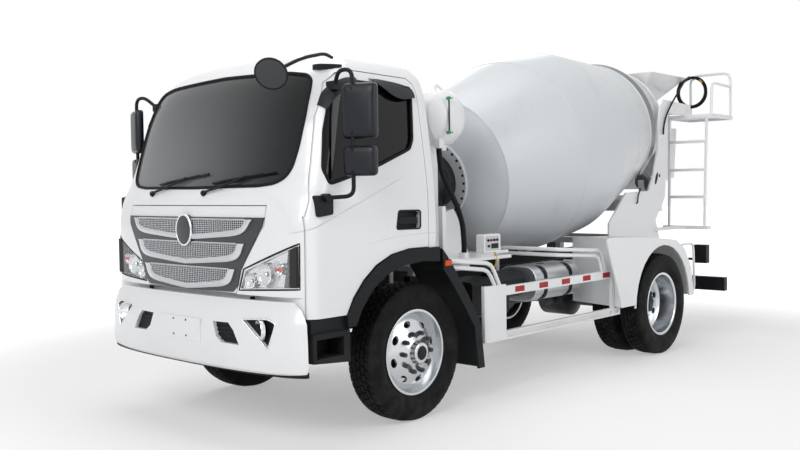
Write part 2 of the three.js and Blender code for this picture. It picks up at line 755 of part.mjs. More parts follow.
function cabSeats() {
  const floor = ARCH_TOP + CAB_WALL + GAP;
  const seat = (side) => [
    sideBox(side, 300, 780, -400, 10, floor, 1400),
    onSide(side, prism([[-60, 1380], [60, 1380], [100, 1950], [20, 1950]], 'x', 310, 770)),
  ];
  const console = box(-310, 310, -330, 20, floor, 1330);
  return join(seat(1), seat(-1), console);
}

const WHEEL_RIM_R = 225;
const DASH_HALF = 890;         // the doors' inner faces swing past its ends
function dashboard() {
  const panel = common(
    prism(
      [[-1130, 1300], [-880, 1300], [-760, 1420], [-780, 1520], [-960, 1590], [-1130, 1590]],
      'x', -DASH_HALF, DASH_HALF,
    ),
    cabInterior(GAP),
  );
  const centre = new THREE.Vector3(-480, -690, 1640);
  const lean = -62 * Math.PI / 180;
  const place = (geometry) => {
    geometry.rotateX(lean);
    geometry.translate(centre.x, centre.y, centre.z);
    return solid(geometry);
  };
  const rim = place(new THREE.TorusGeometry(WHEEL_RIM_R, 14, 5, 16));
  const spoke = place(new THREE.BoxGeometry(2 * WHEEL_RIM_R, 30, 14));
  const hub = place(new THREE.CylinderGeometry(60, 60, 40, 12).rotateX(Math.PI / 2));
  const column = rod([centre.x, centre.y, centre.z], [centre.x, centre.y - 190, centre.z - 150], 30);
  return join(panel, column, hub, spoke, rim);
}

// ---- chassis ----------------------------------------------------------------------------------------------
const CROSSMEMBERS = [-855, 960, 1560, 2200, 2860, 3860, 4330, 4800];
const CROSSMEMBER_HALF = 40;
const BRACKET_FACE = 470;      // outer face of the brackets that hold side tanks
const TANK_BRACKETS = [1760, 2240];
const BOX_BRACKETS = [820, 1220];
const SILENCER_BRACKETS = [1050, 1550];
const ENGINE_HALF = 260;
const ENGINE_REAR = 350;
const GEARBOX_END = 860;
const POST_Y0 = 50;
const SPRING_EYE = 660;
const SPRING_REACH = 700;
const RAIL_DROP = 780;         // top of the rails' low front end

function chassisFrame() {
  const rails = bothSides((side) => [
    onSide(side, prism([
      [FRAME_FRONT, RAIL_BOTTOM], [FRAME_REAR, RAIL_BOTTOM], [FRAME_REAR, RAIL_TOP],
      [-690, RAIL_TOP], [-745, RAIL_DROP], [FRAME_FRONT, RAIL_DROP],
    ], 'x', RAIL_IN, RAIL_OUT)),
    sideBox(side, RAIL_IN, RAIL_OUT, SUBFRAME_FRONT, FRAME_REAR, RAIL_TOP - 5, SUBFRAME_TOP),
    sideBox(side, RAIL_IN, RAIL_OUT, POST_Y0, POST_Y0 + 80, RAIL_TOP - 5, ARCH_TOP - GAP),
    sideBox(side, ENGINE_HALF + GAP, RAIL_IN + 5, -260, -180, 700, 800),
    sideBox(side, ENGINE_HALF + GAP, RAIL_IN + 5, 180, 260, 700, 800),
    rod([side * (LUG_X - 45), TILT_Y, TILT_Z], [side * (RAIL_OUT - 5), TILT_Y, TILT_Z], TILT_PIN_R, 12),
    sideBox(side, RAIL_IN, RAIL_OUT, TILT_Y - 45, FRAME_FRONT + 5, TILT_Z - 40, TILT_Z + 60),
  ]).flat();
  const crossmembers = CROSSMEMBERS.map((y) => box(
    -RAIL_IN - 5, RAIL_IN + 5, y - CROSSMEMBER_HALF, y + CROSSMEMBER_HALF, 650, 790,
  ));
  const hangers = bothSides((side) => [
    -SPRING_EYE, SPRING_EYE, WHEELBASE - SPRING_EYE, WHEELBASE + SPRING_EYE,
  ].map((y) => sideBox(
    side, RAIL_IN, RAIL_OUT, y - 40, y + 40, springTop(SPRING_REACH) + GAP, RAIL_BOTTOM + 5,
  ))).flat();
  const holders = [
    ...TANK_BRACKETS.map((y) => box(RAIL_OUT - 5, BRACKET_FACE, y - 30, y + 30, 660, 820)),
    ...BOX_BRACKETS.map((y) => box(RAIL_OUT - 5, BRACKET_FACE, y - 30, y + 30, 660, 820)),
    ...SILENCER_BRACKETS.map((y) => box(-BRACKET_FACE, -RAIL_OUT + 5, y - 30, y + 30, 660, 820)),
  ];
  const socket = join(
    rod([0, CHUTE_Y, 700], [0, CHUTE_Y, 960], 68, 16),
    box(-68, 68, FRAME_REAR - 60, CHUTE_Y, 700, 790),
  );
  const bore = rod([0, CHUTE_Y, 650], [0, CHUTE_Y, 1000], boreRadius(CHUTE_POST_R, 16), 16);
  return cut(join(rails, crossmembers, hangers, holders, socket), bore);
}

// Leaf springs: a stack that bows down in the middle, under each rail.
const SPRING_HALF = 34;
const SPRING_MIDDLE = 560;
const springTop = (away) => SPRING_MIDDLE + 42 * (away / SPRING_EYE) ** 2;
function leafSpring(side, y) {
  const reach = [-1, -2 / 3, -1 / 3, 0, 1 / 3, 2 / 3, 1].map((share) => share * SPRING_REACH);
  const top = reach.map((d) => [y + d, springTop(Math.abs(d))]);
  const under = [[y + 640, 582], [y + 90, 512], [y - 90, 512], [y - 640, 582]];
  return onSide(side, prism([...top, ...under], 'x', 395 - SPRING_HALF, 395 + SPRING_HALF));
}

function frontAxle() {
  const beam = prism(
    [[-700, 505], [-560, 515], [-470, 490], [470, 490], [560, 515], [700, 505],
      [700, 445], [560, 425], [470, 400], [-470, 400], [-560, 425], [-700, 445]],
    'y', -45, 45,
  );
  const ends = bothSides((side) => [
    sideBox(side, 690, KINGPIN_X, -40, 40, 445, 505),
    rod([side * KINGPIN_X, 0, 430], [side * KINGPIN_X, 0, 522], 42, 12),
    rod([side * KINGPIN_X, 0, 366], [side * KINGPIN_X, 0, 586], KINGPIN_R, 12),
  ]).flat();
  const pads = bothSides((side) => sideBox(side, 350, 440, -70, 70, 470, 530));
  const springs = bothSides((side) => leafSpring(side, 0));
  return join(beam, ends, pads, springs);
}

// Steering knuckle: a fork round the axle's end and the brake drum on its outer face.
const DRUM_FACE = FRONT_WHEEL_X + 71 - GAP;
function knuckle(side) {
  const lugs = [[527, 582], [370, 425]].map(([z0, z1]) => box(KINGPIN_X - 35, 812, -38, 38, z0, z1));
  const plate = box(797, 830, -75, 75, 370, 582);
  const brake = turnedX(
    [[805, 0], [805, 190], [900, 190], [905, 150], [DRUM_FACE, 150], [DRUM_FACE, 0]],
    WHEEL_SIDES,
  );
  const lifted = placed(brake, 0, TYRE_R);
  const bore = rod([KINGPIN_X, 0, 360], [KINGPIN_X, 0, 600], boreRadius(KINGPIN_R, 12), 12);
  return onSide(side, cut(join(lugs, plate, lifted), bore));
}

function placed(body, y, z) {
  const geometry = geometryOf(body);
  geometry.translate(0, y, z);
  return solid(geometry);
}

const REAR_HUB_FACE = 870;
function rearAxle() {
  const tubeBody = turnedX([
    [-REAR_HUB_FACE + GAP, 0], [-REAR_HUB_FACE + GAP, 150], [-800, 150], [-800, 200], [-665, 200], [-665, 78],
    [-210, 78], [-150, 185], [150, 185], [210, 78],
    [665, 78], [665, 200], [800, 200], [800, 150], [REAR_HUB_FACE - GAP, 150], [REAR_HUB_FACE - GAP, 0],
  ], WHEEL_SIDES);
  const housing = placed(tubeBody, WHEELBASE, TYRE_R);
  const pads = bothSides((side) => sideBox(side, 350, 440, WHEELBASE - 70, WHEELBASE + 70, TYRE_R, 530));
  const springs = bothSides((side) => leafSpring(side, WHEELBASE));
  const pinion = rod([0, WHEELBASE - 100, 490], [0, WHEELBASE - 280, 500], 90);
  const shaft = rod([0, WHEELBASE - 250, 500], [0, GEARBOX_END + 80, 588], 42);
  const flange = rod([0, GEARBOX_END + 110, 588], [0, GEARBOX_END + GAP, 588], 60);
  return join(housing, pads, springs, pinion, shaft, flange);
}

const wheelScale = 1 / Math.cos(Math.PI / WHEEL_SIDES);
const BEAD_PLAY = 0.5;
function tyre(centreX) {
  const w = TYRE_HALF_W;
  const bead = RIM_HALF_W - 13.5;
  const half = [
    [bead, RIM_SEAT_R + BEAD_PLAY], [bead, RIM_LIP_R + 1], [w, 372], [w - 10, 440], [w - 32, TYRE_R],
  ];
  const profile = [...half, ...half.slice().reverse().map(([u, r]) => [-u, r])];
  return wheelPiece(profile, centreX, true);
}

function wheelPiece(profile, centreX, closed = false) {
  const geometry = geometryOf(turnedX(profile.map(([u, r]) => [u, r * wheelScale]), WHEEL_SIDES, closed));
  geometry.translate(centreX, 0, 0);
  return solid(geometry);
}

function frontRim() {
  const f = RIM_HALF_W;
  return wheelPiece([
    [150, 0], [150, 72], [100, 86], [62, 220], [22, 258], [f, 276], [f, RIM_LIP_R],
    [f - 13, RIM_SEAT_R], [13 - f, RIM_SEAT_R], [-f, RIM_LIP_R],
    [-f, 272], [8, 252], [71, 160], [71, 0],
  ], FRONT_WHEEL_X);
}

// Two deep-dish rims bolted back to back.
function twinRims() {
  const p = TWIN_HALF_PITCH;
  const f = RIM_HALF_W;
  const hub = TWIN_X - REAR_HUB_FACE;
  const barrel = [
    [p + f, 276], [p + f, RIM_LIP_R], [p + f - 13, RIM_SEAT_R],
    [p - f + 13, RIM_SEAT_R], [p - f, RIM_LIP_R], [p - f, 268], [hub, 225],
  ];
  const back = barrel.slice().reverse().map(([u, r]) => [-u, r]);
  return wheelPiece([
    [109, 0], [109, 85], [28, 100], [70, 245], ...barrel, ...back, [-70, 245], [-hub, 165], [-hub, 0],
  ], TWIN_X);
}

function engineBlock() {
  return join(
    box(-ENGINE_HALF, ENGINE_HALF, -420, ENGINE_REAR, 560, 1080),
    box(-170, 170, ENGINE_REAR - 10, GEARBOX_END, 530, 840),
  );
}

function roundedRect(a0, a1, b0, b1, r, steps = 3) {
  const shape = [];
  const corners = [[a1 - r, b1 - r], [a0 + r, b1 - r], [a0 + r, b0 + r], [a1 - r, b0 + r]];
  for (const [start, [ca, cb]] of corners.entries()) {
    for (let i = 0; i <= steps; i += 1) {
      const angle = (start + i / steps) * Math.PI / 2;
      shape.push([ca + r * Math.cos(angle), cb + r * Math.sin(angle)]);
    }
  }
  return shape;
}

const TANK_IN = BRACKET_FACE + GAP;
function fuelTank() {
  return prism(roundedRect(TANK_IN, 855, 640, 935, 110, 4), 'y', 1650, 2340);
}

function batteryBox() {
  const box_ = prism(roundedRect(TANK_IN, 860, 600, 880, 20, 1), 'y', 780, 1260);
  const reservoir = rod([660, 1250, 800], [660, 1600, 800], 118, 16);
  return join(box_, reservoir);
}

function silencer() {
  const can = rod([-640, 900, 720], [-640, 1700, 720], 130, 16);
  const saddle = box(-640, -TANK_IN, 1000, 1600, 690, 750);
  const inlet = tube([
    [-640, 910, 720], [-640, 800, 720], [-560, 775, 575], [-215, 775, 575],
    [-215, ENGINE_REAR + GAP, 575],
  ], 36, 80);
  const tail = tube([[-640, 1690, 720], [-640, 1900, 720], [-960, 2100, 640]], 38, 90);
  return join(can, saddle, inlet, tail);
}

// Black mudguard behind each front wheel, with its hanging flap.
function frontMudguard(side) {
  const outer = [[CAB_REAR + 12, 1186], [235, 1108], [305, 1019], [453, 825], [585, 626], [632, 290]];
  const skin = [
    ...outer, [616, 288], [569, 620], [439, 815], [291, 1009], [222, 1096], [CAB_REAR + 12, 1166],
  ];
  const rim = [...outer, [560, 288], [515, 600], [385, 780], [245, 960], [180, 1030], [CAB_REAR + 12, 1085]];
  const arm = [
    box(395, RAIL_OUT, 200, 240, RAIL_TOP + GAP, 1098),
    box(395, 720, 200, 235, 1058, 1098),
  ];
  return onSide(side, join(
    prism(skin, 'x', 690, 1088),
    prism(rim, 'x', 1070, 1088),
    arm,
    box(1030, 1094, 165, 250, 1040, 1105),
  ));
}

const ARCH_R = 545;
const GUARD_IN = SUPPORT_X + 10;
const SKIRT_Z = 522;           // lower edge of the mudguard's front panel
function rearMudguard(side) {
  const t = 16;
  const fromAxle = (points) => points.map(([y, z]) => [WHEELBASE + y, z]);
  const outer = fromAxle([
    [-1060, 1125], [-1015, 1150], [-260, 1120], [260, 1072], [450, 975], [590, 780], [650, 505],
    [530, 505], [530, 490], [-560, 490], [-560, SKIRT_Z], [-800, SKIRT_Z],
  ]);
  const inner = fromAxle([
    [-1042, 1116], [-1010, 1134], [-260, 1104], [252, 1057], [439, 964], [575, 775], [635, 505],
    [635, 300], [-785, 300], [-785, 490],
  ]);
  const ahead = (back) => prism([
    [400, WHEELBASE - 1160], [1200, WHEELBASE - 1160], [1200, WHEELBASE - 805 + back],
    [400, WHEELBASE - 564 + back],
  ], 'z', 250, 1300);
  const body = cut(
    cut(prism(outer, 'x', GUARD_IN, MUDGUARD_OUT), ahead(0)),
    cut(prism(inner, 'x', GUARD_IN - 10, MUDGUARD_OUT - t), ahead(t)),
  );
  const panel = cut(
    common(prism(outer, 'x', 520, GUARD_IN + 5), cut(ahead(t), ahead(0))),
  );
  const cheek = prism(outer, 'x', MUDGUARD_OUT - t, MUDGUARD_OUT);
  const arch = rod([MUDGUARD_OUT - 40, WHEELBASE, 490], [MUDGUARD_OUT + 40, WHEELBASE, 490], ARCH_R, 32);
  const below = box(MUDGUARD_OUT - 40, MUDGUARD_OUT + 40, WHEELBASE - ARCH_R, WHEELBASE + ARCH_R, 300, 490);
  const arm = box(RAIL_OUT + GAP, 545, WHEELBASE - 615, WHEELBASE - 575, 860, 910);
  const rearArm = box(RAIL_OUT + GAP, GUARD_IN + 10, WHEELBASE + 533, WHEELBASE + 562, 800, 845);
  const stay = tube([
    [1060, WHEELBASE + 575, 1005], [1060, WHEELBASE + 830, 1005], [1060, WHEELBASE + 855, 520],
    [1060, WHEELBASE + 640, 512],
  ], 13, 60);
  return onSide(side, join(cut(join(body, cheek), arch, below), panel, arm, rearArm, stay));
}

// Side guard: wide front post and two rails, carried from the frame by bent tubes.
const TUBE_R = 16;
const TUBE_X = GUARD_X - 2;
const TUBE_START_X = RAIL_OUT + GAP + TUBE_R;
const TUBE_FEET = [333, 1680];
function sideGuard(side) {
  const post = prism([
    [1010, GUARD_FRONT], [1034, GUARD_FRONT + 4], [1050, GUARD_FRONT + 40], [1054, GUARD_FRONT + 250],
    [1030, GUARD_FRONT + 250], [1028, GUARD_FRONT + 50], [1010, GUARD_FRONT + 20],
  ], 'z', 446, 868);
  const topRail = box(1026, 1054, GUARD_FRONT + 240, GUARD_REAR - 70, 783, 852);
  const lowRail = cut(
    box(1016, 1054, GUARD_FRONT + 240, GUARD_REAR + 30, 446, 512),
    box(1034, 1060, GUARD_FRONT + 260, GUARD_REAR + 10, 462, 496),
  );
  const rearPost = box(1026, 1052, GUARD_REAR - 110, GUARD_REAR - 70, 446, 852);
  const hanger = (y, top, bend, end, drop) => tube([
    [TUBE_START_X, y, 700], [TUBE_START_X, y, top], [TUBE_X, y, top], [TUBE_X, bend, top - 48],
    [TUBE_X, end, drop],
  ], TUBE_R, 60, 6);
  return onSide(side, join(
    post, topRail, lowRail, rearPost,
    hanger(TUBE_FEET[0], 1083, 784, 898, 840), hanger(TUBE_FEET[0], 1038, 745, 842, 840),
    hanger(TUBE_FEET[1], 1087, 2383, 2460, 830), hanger(TUBE_FEET[1], 1042, 2340, 2410, 830),
  ));
}

function underrunBar() {
  const bar = box(-1100, 1100, 4870, 4945, 455, 600);
  const plates = bothSides((side) => [
    sideBox(side, RAIL_OUT + GAP, RAIL_OUT + 20, 4640, 4800, 700, 815),
    sideBox(side, RAIL_OUT + GAP, RAIL_OUT + 20, 4740, 4890, 470, 815),
  ]).flat();
  const lamps = bothSides((side) => [
    sideBox(side, RAIL_OUT + 10, 900, 4670, 4700, 790, 815),
    sideBox(side, 860, 1000, 4640, 4720, 765, 960),
  ]).flat();
  return join(bar, plates, lamps);
}

// ---- mixer body -------------------------------------------------------------------------------------
const alongDrum = (s, up) => [
  DRUM_Y + s * Math.cos(DRUM_TILT) - up * Math.sin(DRUM_TILT),
  DRUM_Z + s * Math.sin(DRUM_TILT) + up * Math.cos(DRUM_TILT),
];
const coneR = (s) => DRUM_SEAM_2_R
  + (DRUM_MOUTH_R - DRUM_SEAM_2_R) * (s - DRUM_SEAM_2) / (DRUM_MOUTH - DRUM_SEAM_2);

function mixerDrum() {
  const w = DRUM_WALL;
  const ring = 50;
  const outer = [
    [DRUM_FRONT, 0], [DRUM_FRONT, DRUM_FLANGE_R], [DRUM_FRONT + 34, DRUM_FLANGE_R],
    [DRUM_FRONT + 34, DRUM_FLANGE_R - 40], [DRUM_HEAD - 80, DRUM_HEAD_R - 150], [DRUM_HEAD, DRUM_HEAD_R],
    [DRUM_SEAM_1, DRUM_SEAM_1_R], [DRUM_SEAM_2, DRUM_SEAM_2_R],
    [DRUM_RING - ring, coneR(DRUM_RING - ring)], [DRUM_RING - ring, DRUM_RING_R],
    [DRUM_RING + ring, DRUM_RING_R], [DRUM_RING + ring, coneR(DRUM_RING + ring)],
    [DRUM_MOUTH, DRUM_MOUTH_R],
  ];
  const inner = [
    [DRUM_MOUTH, DRUM_MOUTH_R - w], [DRUM_SEAM_2, DRUM_SEAM_2_R - w], [DRUM_SEAM_1, DRUM_SEAM_1_R - w],
    [DRUM_HEAD + w / 2, DRUM_HEAD_R - w], [DRUM_HEAD - 80 + w, DRUM_HEAD_R - 160],
    [DRUM_FRONT + 50, DRUM_FLANGE_R - 50], [DRUM_FRONT + 50, 0],
  ];
  return turnedDrum([...outer, ...inner], DRUM_SIDES);
}

const GEARBOX_R = 190;
const GEARBOX_FRONT = 430;
function drumGearbox() {
  const box_ = turnedDrum([
    [GEARBOX_FRONT - 190, 0], [GEARBOX_FRONT - 190, 95], [GEARBOX_FRONT, 95], [GEARBOX_FRONT, 150],
    [GEARBOX_FRONT + 60, GEARBOX_R], [GEARBOX_FRONT + 250, GEARBOX_R], [GEARBOX_FRONT + 270, 240],
    [DRUM_FRONT - GAP, 240], [DRUM_FRONT - GAP, 0],
  ], 24);
  const under = [
    alongDrum(GEARBOX_FRONT + 60, -GEARBOX_R - 40), alongDrum(GEARBOX_FRONT + 250, -GEARBOX_R - 40),
    alongDrum(GEARBOX_FRONT + 250, -60), alongDrum(GEARBOX_FRONT + 60, -60),
  ];
  return join(box_, prism(under, 'x', -150, 150));
}

// Stand between cab and drum: pedestal, side decks and the posts that carry the water tank.
const DECK_TOP = 1070;
const TANK_POST_X = 590;
function frontStand() {
  const seat = (s) => alongDrum(s, -GEARBOX_R - 40 - GAP);
  const top = [seat(GEARBOX_FRONT + 40), seat(GEARBOX_FRONT + 255)];
  const pedestal = common(
    prism([
      [900, SUBFRAME_TOP + GAP], [1330, SUBFRAME_TOP + GAP], [top[1][0] + 40, 1250],
      top[1], top[0], [930, 1250],
    ], 'x', -420, 420),
    prism([[-420, 900], [420, 900], [380, 1080], [230, 1500], [-230, 1500], [-380, 1080]], 'y', 800, 1500),
  );
  const decks = box(-900, 900, 365, 1240, DECK_TOP - 25, DECK_TOP);
  const pole = box(878, 918, 370, 410, DECK_TOP - 25, 1470);
  const hoseFoot = box(HOSE_FOOT_X - 28, HOSE_FOOT_X + 28, 736, 792, DECK_TOP - 10, HOSE_FOOT_Z);
  const feet = bothSides((side) => sideBox(
    side, RAIL_IN, RAIL_OUT, 600, 700, SUBFRAME_TOP + GAP, DECK_TOP - 10,
  ));
  const [postIn, postOut] = [TANK_POST_X - 30, TANK_POST_X + 30];
  const posts = bothSides((side) => sideBox(
    side, postIn, postOut, TANK_Y - 40, TANK_Y + 40, DECK_TOP - 10, TANK_Z,
  ));
  const saddle = bothSides((side) => sideBox(
    side, postIn, postOut, TANK_Y - 150, TANK_Y + 150, TANK_Z - 240, TANK_Z - 120,
  ));
  const tankSpace = turnedX([[-900, 0], [-900, TANK_R + GAP], [900, TANK_R + GAP], [900, 0]], 24);
  return cut(join(pedestal, decks, pole, hoseFoot, feet, posts, saddle), placed(tankSpace, TANK_Y, TANK_Z));
}

function waterTank() {
  const shell = turnedX([
    [-TANK_HALF, 0], [-TANK_HALF + 12, 90], [-TANK_HALF + 50, 160], [-TANK_HALF + 110, TANK_R],
    [TANK_HALF - 110, TANK_R], [TANK_HALF - 50, 160], [TANK_HALF - 12, 90], [TANK_HALF, 0],
  ], 24);
  const vent = tube(
    [[640, TANK_Y, TANK_Z + 195], [640, TANK_Y, TANK_Z + 260], [640, TANK_Y + 90, TANK_Z + 215]],
    9, 25,
  );
  const outlet = box(HOSE_TANK_X - 28, HOSE_TANK_X + 28, 532, 588, HOSE_TANK_Z, TANK_Z - 120);
  return join(placed(shell, TANK_Y, TANK_Z), vent, outlet);
}

function controlBox() {
  const cabinet = prism(roundedRect(822, 1032, 1108, 1245, 8, 1), 'x', 872, 945);
  const bracket = box(850, 898, 850, 1010, DECK_TOP + GAP, 1115);
  const pipe = rod([860, 1000, 1095], [860, 1236, 1095], 14);
  return join(cabinet, bracket, pipe, box(852, 898, 980, 1010, 1085, 1112));
}

// Ribbed hose from the tank's outlet down to the deck.
const HOSE_TANK_X = 735;
const HOSE_TANK_Z = 1900;
const HOSE_FOOT_X = 800;
const HOSE_FOOT_Z = 1110;
const WATER_HOSE_R = 22;
const WATER_HOSE_POINTS = [
  [HOSE_TANK_X, 560, HOSE_TANK_Z - GAP], [HOSE_TANK_X, 560, 1865], [742, 578, 1730], [762, 632, 1600],
  [783, 700, 1470], [797, 748, 1330], [HOSE_FOOT_X, 764, 1170], [HOSE_FOOT_X, 764, HOSE_FOOT_Z + GAP],
];

function hose(points, steps, r) {
  const stops = points.map((p) => new THREE.Vector3(...p));
  const curve = new THREE.CatmullRomCurve3(stops.slice(1, -1), false, 'centripetal');
  return sweep([stops[0], ...curve.getSpacedPoints(steps), stops[stops.length - 1]], r, 8);
}

// Rear support: side plates, crossmembers on the subframe, roller stands, top arms and collector.
function rollerCentre(s) {
  const reach = DRUM_RING_R + ROLLER_R + 0.6;
  const [y, z] = alongDrum(s, -reach * Math.cos(ROLLER_ANGLE));
  return [reach * Math.sin(ROLLER_ANGLE), y, z];
}

function rollerStand(side) {
  const half = ROLLER_HALF_W + 4;
  const [x] = rollerCentre(DRUM_RING);
  const drop = -(DRUM_RING_R + ROLLER_R) * Math.cos(ROLLER_ANGLE);
  const lug = (from, to) => prism([
    alongDrum(from, drop - 260), alongDrum(to, drop - 260),
    alongDrum(to, drop + 25), alongDrum(from, drop + 25),
  ], 'x', x - 30, x + 30);
  const ends = [DRUM_RING - half - 22, DRUM_RING + half + 22].map((s) => rollerCentre(s));
  return onSide(side, join(
    lug(DRUM_RING - half - 20, DRUM_RING - half),
    lug(DRUM_RING + half, DRUM_RING + half + 20),
    rod(ends[0], ends[1], ROLLER_PIN_R, 16),
    box(x - 60, SUPPORT_X - 5, 4020, 4300, 1440, 1530),
  ));
}

function rearSupport() {
  const plateShape = [
    [3150, 1030], [4200, 1030], [4110, 1240], [4320, 1480], [4345, 1700], [4370, 2000],
    [4400, ARM_BOTTOM + GAP],
    [4940, ARM_BOTTOM + GAP], [4940, 2475], [4300, 2500], [4225, 2430], [4185, 2250], [4172, 2000],
    [4065, 1700], [3960, 1545], [3490, 1530], [3150, 1240],
  ];
  const plate = prism(plateShape, 'x', SUPPORT_X - SUPPORT_PLATE, SUPPORT_X);
  const plates = bothSides((side) => onSide(side, plate));
  const rows = [3330, 3980];
  const cross = rows.map((y) => box(-SUPPORT_X + 5, SUPPORT_X - 5, y - 40, y + 40, 1032, 1090));
  const feet = bothSides((side) => rows.map(
    (y) => sideBox(side, RAIL_IN, RAIL_OUT, y - 40, y + 40, SUBFRAME_TOP + GAP, 1040),
  )).flat();
  const beam = box(-SUPPORT_X + 5, SUPPORT_X - 5, 4180, 4260, 1330, 1445);
  const topBeam = box(-SUPPORT_X + 5, SUPPORT_X - 5, 4855, 4925, 2380, 2455);
  const hangers = bothSides((side) => sideBox(side, 418, 442, 4855, 4925, 2150, 2390));
  const gland = box(SUPPORT_X - 5, HOSE_POINTS[0][0] + 15, 4235, 4267, 2095, HOSE_POINTS[0][2] - GAP);
  return join(plates, cross, feet, beam, topBeam, hangers, gland, collector(), bothSides(rollerStand));
}

// Funnel that catches what the drum's mouth lets fall; its front is low, under the drum's lip.
function collector() {
  const walls = funnel([
    { z: 1560, x: 140, y0: 4850, y1: 5010 },
    { z: 1690, x: 400, y0: 4570, y1: 5140 },
    { z: 2240, x: 430, y0: 4570, y1: 5140 },
  ], 8);
  return cut(walls, box(-500, 500, 4500, 4690, 1702, 2300));
}

function drumRoller(side) {
  const reach = DRUM_RING_R + ROLLER_R + 0.6;
  const profile = [
    [-ROLLER_HALF_W, ROLLER_PIN_R + PIN_PLAY + 0.4], [-ROLLER_HALF_W, ROLLER_R],
    [ROLLER_HALF_W, ROLLER_R], [ROLLER_HALF_W, ROLLER_PIN_R + PIN_PLAY + 0.4],
  ];
  const points = profile.map(([u, r]) => new THREE.Vector2(r, u));
  points.push(points[0].clone());
  const geometry = new THREE.LatheGeometry(points, 24);
  geometry.translate(side * reach * Math.sin(ROLLER_ANGLE), DRUM_RING, -reach * Math.cos(ROLLER_ANGLE));
  geometry.rotateX(DRUM_TILT);
  geometry.translate(0, DRUM_Y, DRUM_Z);
  const body = solid(geometry);
  return body.volume() < 0 ? solid(flipped(geometry)) : body;
}

function chargingHopper() {
  const foot = box(-120, 120, 4830, 4922, 2455 + GAP, 2560);
  return funnel([
    { z: 2180, x: 185, y0: 4330, y1: 4600 },
    { z: 2480, x: 235, y0: 4525, y1: 4845 },
    { z: 2830, x: 455, y0: 4490, y1: TAIL_Y },
  ], 8, [foot]);
}

const CHUTE_POST_R = 40;
const CHUTE_PIN_R = 15;
function chuteArm() {
  return join(
    rod([0, CHUTE_Y, 690], [0, CHUTE_Y, CHUTE_PIN_Z + 30], CHUTE_POST_R, 16),
    rod([0, CHUTE_Y, 960 + GAP], [0, CHUTE_Y, 985], 66, 16),
    rod([0, CHUTE_Y - 95, CHUTE_PIN_Z], [0, CHUTE_Y + 95, CHUTE_PIN_Z], CHUTE_PIN_R, 16),
  );
}

// The chute rests swung to the right: a trough along -X.
function dischargeChute() {
  const w = CHUTE_HALF_W;
  const trough = [
    [-w, 290], [-w + 10, 200], [-w + 90, 138], [w - 90, 138], [w - 10, 200], [w, 290],
    [w - 9, 290], [w - 19, 204], [w - 93, 146], [93 - w, 146], [19 - w, 204], [9 - w, 290],
  ].map(([y, z]) => [CHUTE_Y + y, CHUTE_PIN_Z + z]);
  const body = prism(trough, 'x', -CHUTE_LENGTH + 170, 170);
  const lugs = [-80, 46].map((y) => box(
    -45, 45, CHUTE_Y + y, CHUTE_Y + y + 34, CHUTE_PIN_Z - 35, CHUTE_PIN_Z + 142,
  ));
  const bore = rod(
    [0, CHUTE_Y - 150, CHUTE_PIN_Z],
    [0, CHUTE_Y + 150, CHUTE_PIN_Z],
    boreRadius(CHUTE_PIN_R, 16), 16,
  );
  return join(body, cut(join(lugs), bore));
}

const PLATFORM_TOP = ARM_BOTTOM;
const RAIL_R = 15;
function platform() {
  const floor = box(PLATFORM_IN, PLATFORM_OUT, LADDER_Y + 20, PLATFORM_REAR, PLATFORM_TOP - 22, PLATFORM_TOP);
  const skirt = cut(
    box(PLATFORM_IN, PLATFORM_OUT, LADDER_Y + 20, PLATFORM_REAR, PLATFORM_TOP - 45, PLATFORM_TOP - 10),
    box(
      PLATFORM_IN + 12, PLATFORM_OUT - 12, LADDER_Y + 32, PLATFORM_REAR - 12,
      PLATFORM_TOP - 60, PLATFORM_TOP - 15,
    ),
  );
  const top = 2835;
  const rear = PLATFORM_REAR - RAIL_R - 2;
  const out = PLATFORM_OUT - RAIL_R - 2;
  const foot = PLATFORM_TOP - 12;
  const back = tube(
    [[out, rear, foot], [out, rear, top], [PLATFORM_IN + 20, rear, top], [PLATFORM_IN + 20, rear, foot]],
    RAIL_R, 80,
  );
  const outer = tube(
    [[out, LADDER_Y + 40, foot], [out, LADDER_Y + 60, 2690], [out, rear, 2680]],
    RAIL_R, 60,
  );
  const hookTop = COIL_Z + (COIL_R - COIL_BAND) * Math.cos(Math.PI / COIL_SIDES) - 1.5 * GAP;
  const hook = [
    box(COIL_X - 6, COIL_X + 6, COIL_Y - COIL_HALF - 8, rear, hookTop - 12, hookTop),
    box(COIL_X - 6, COIL_X + 6, rear - 6, rear + 6, hookTop - 12, top),
  ];
  return join(floor, skirt, back, outer, hook);
}

function ladder() {
  const stile = (x0, x1) => tube([[x0, LADDER_Y, 1150], [x1, LADDER_Y, PLATFORM_TOP - 30]], 17, 30);
  const inStile = (z) => 520 + (z - 1150) * 0.01;
  const outStile = (z) => 925 + (z - 1150) * 0.022;
  const rungs = [1470, 1762, 2065].map((z) => box(
    inStile(z), outStile(z), LADDER_Y - 22, LADDER_Y + 22, z - 15, z + 15,
  ));
  const foot = box(475, 985, LADDER_Y - 60, LADDER_Y + 30, 1122, 1158);
  const stay = box(SUPPORT_X + GAP, SUPPORT_X + 34, 4080, LADDER_Y - 30, 1128, 1162);
  const top = box(510, 965, LADDER_Y - 17, LADDER_Y + 20 - GAP, PLATFORM_TOP - 44, PLATFORM_TOP - 20);
  return join(stile(520, 532), stile(925, 951), rungs, foot, stay, top);
}

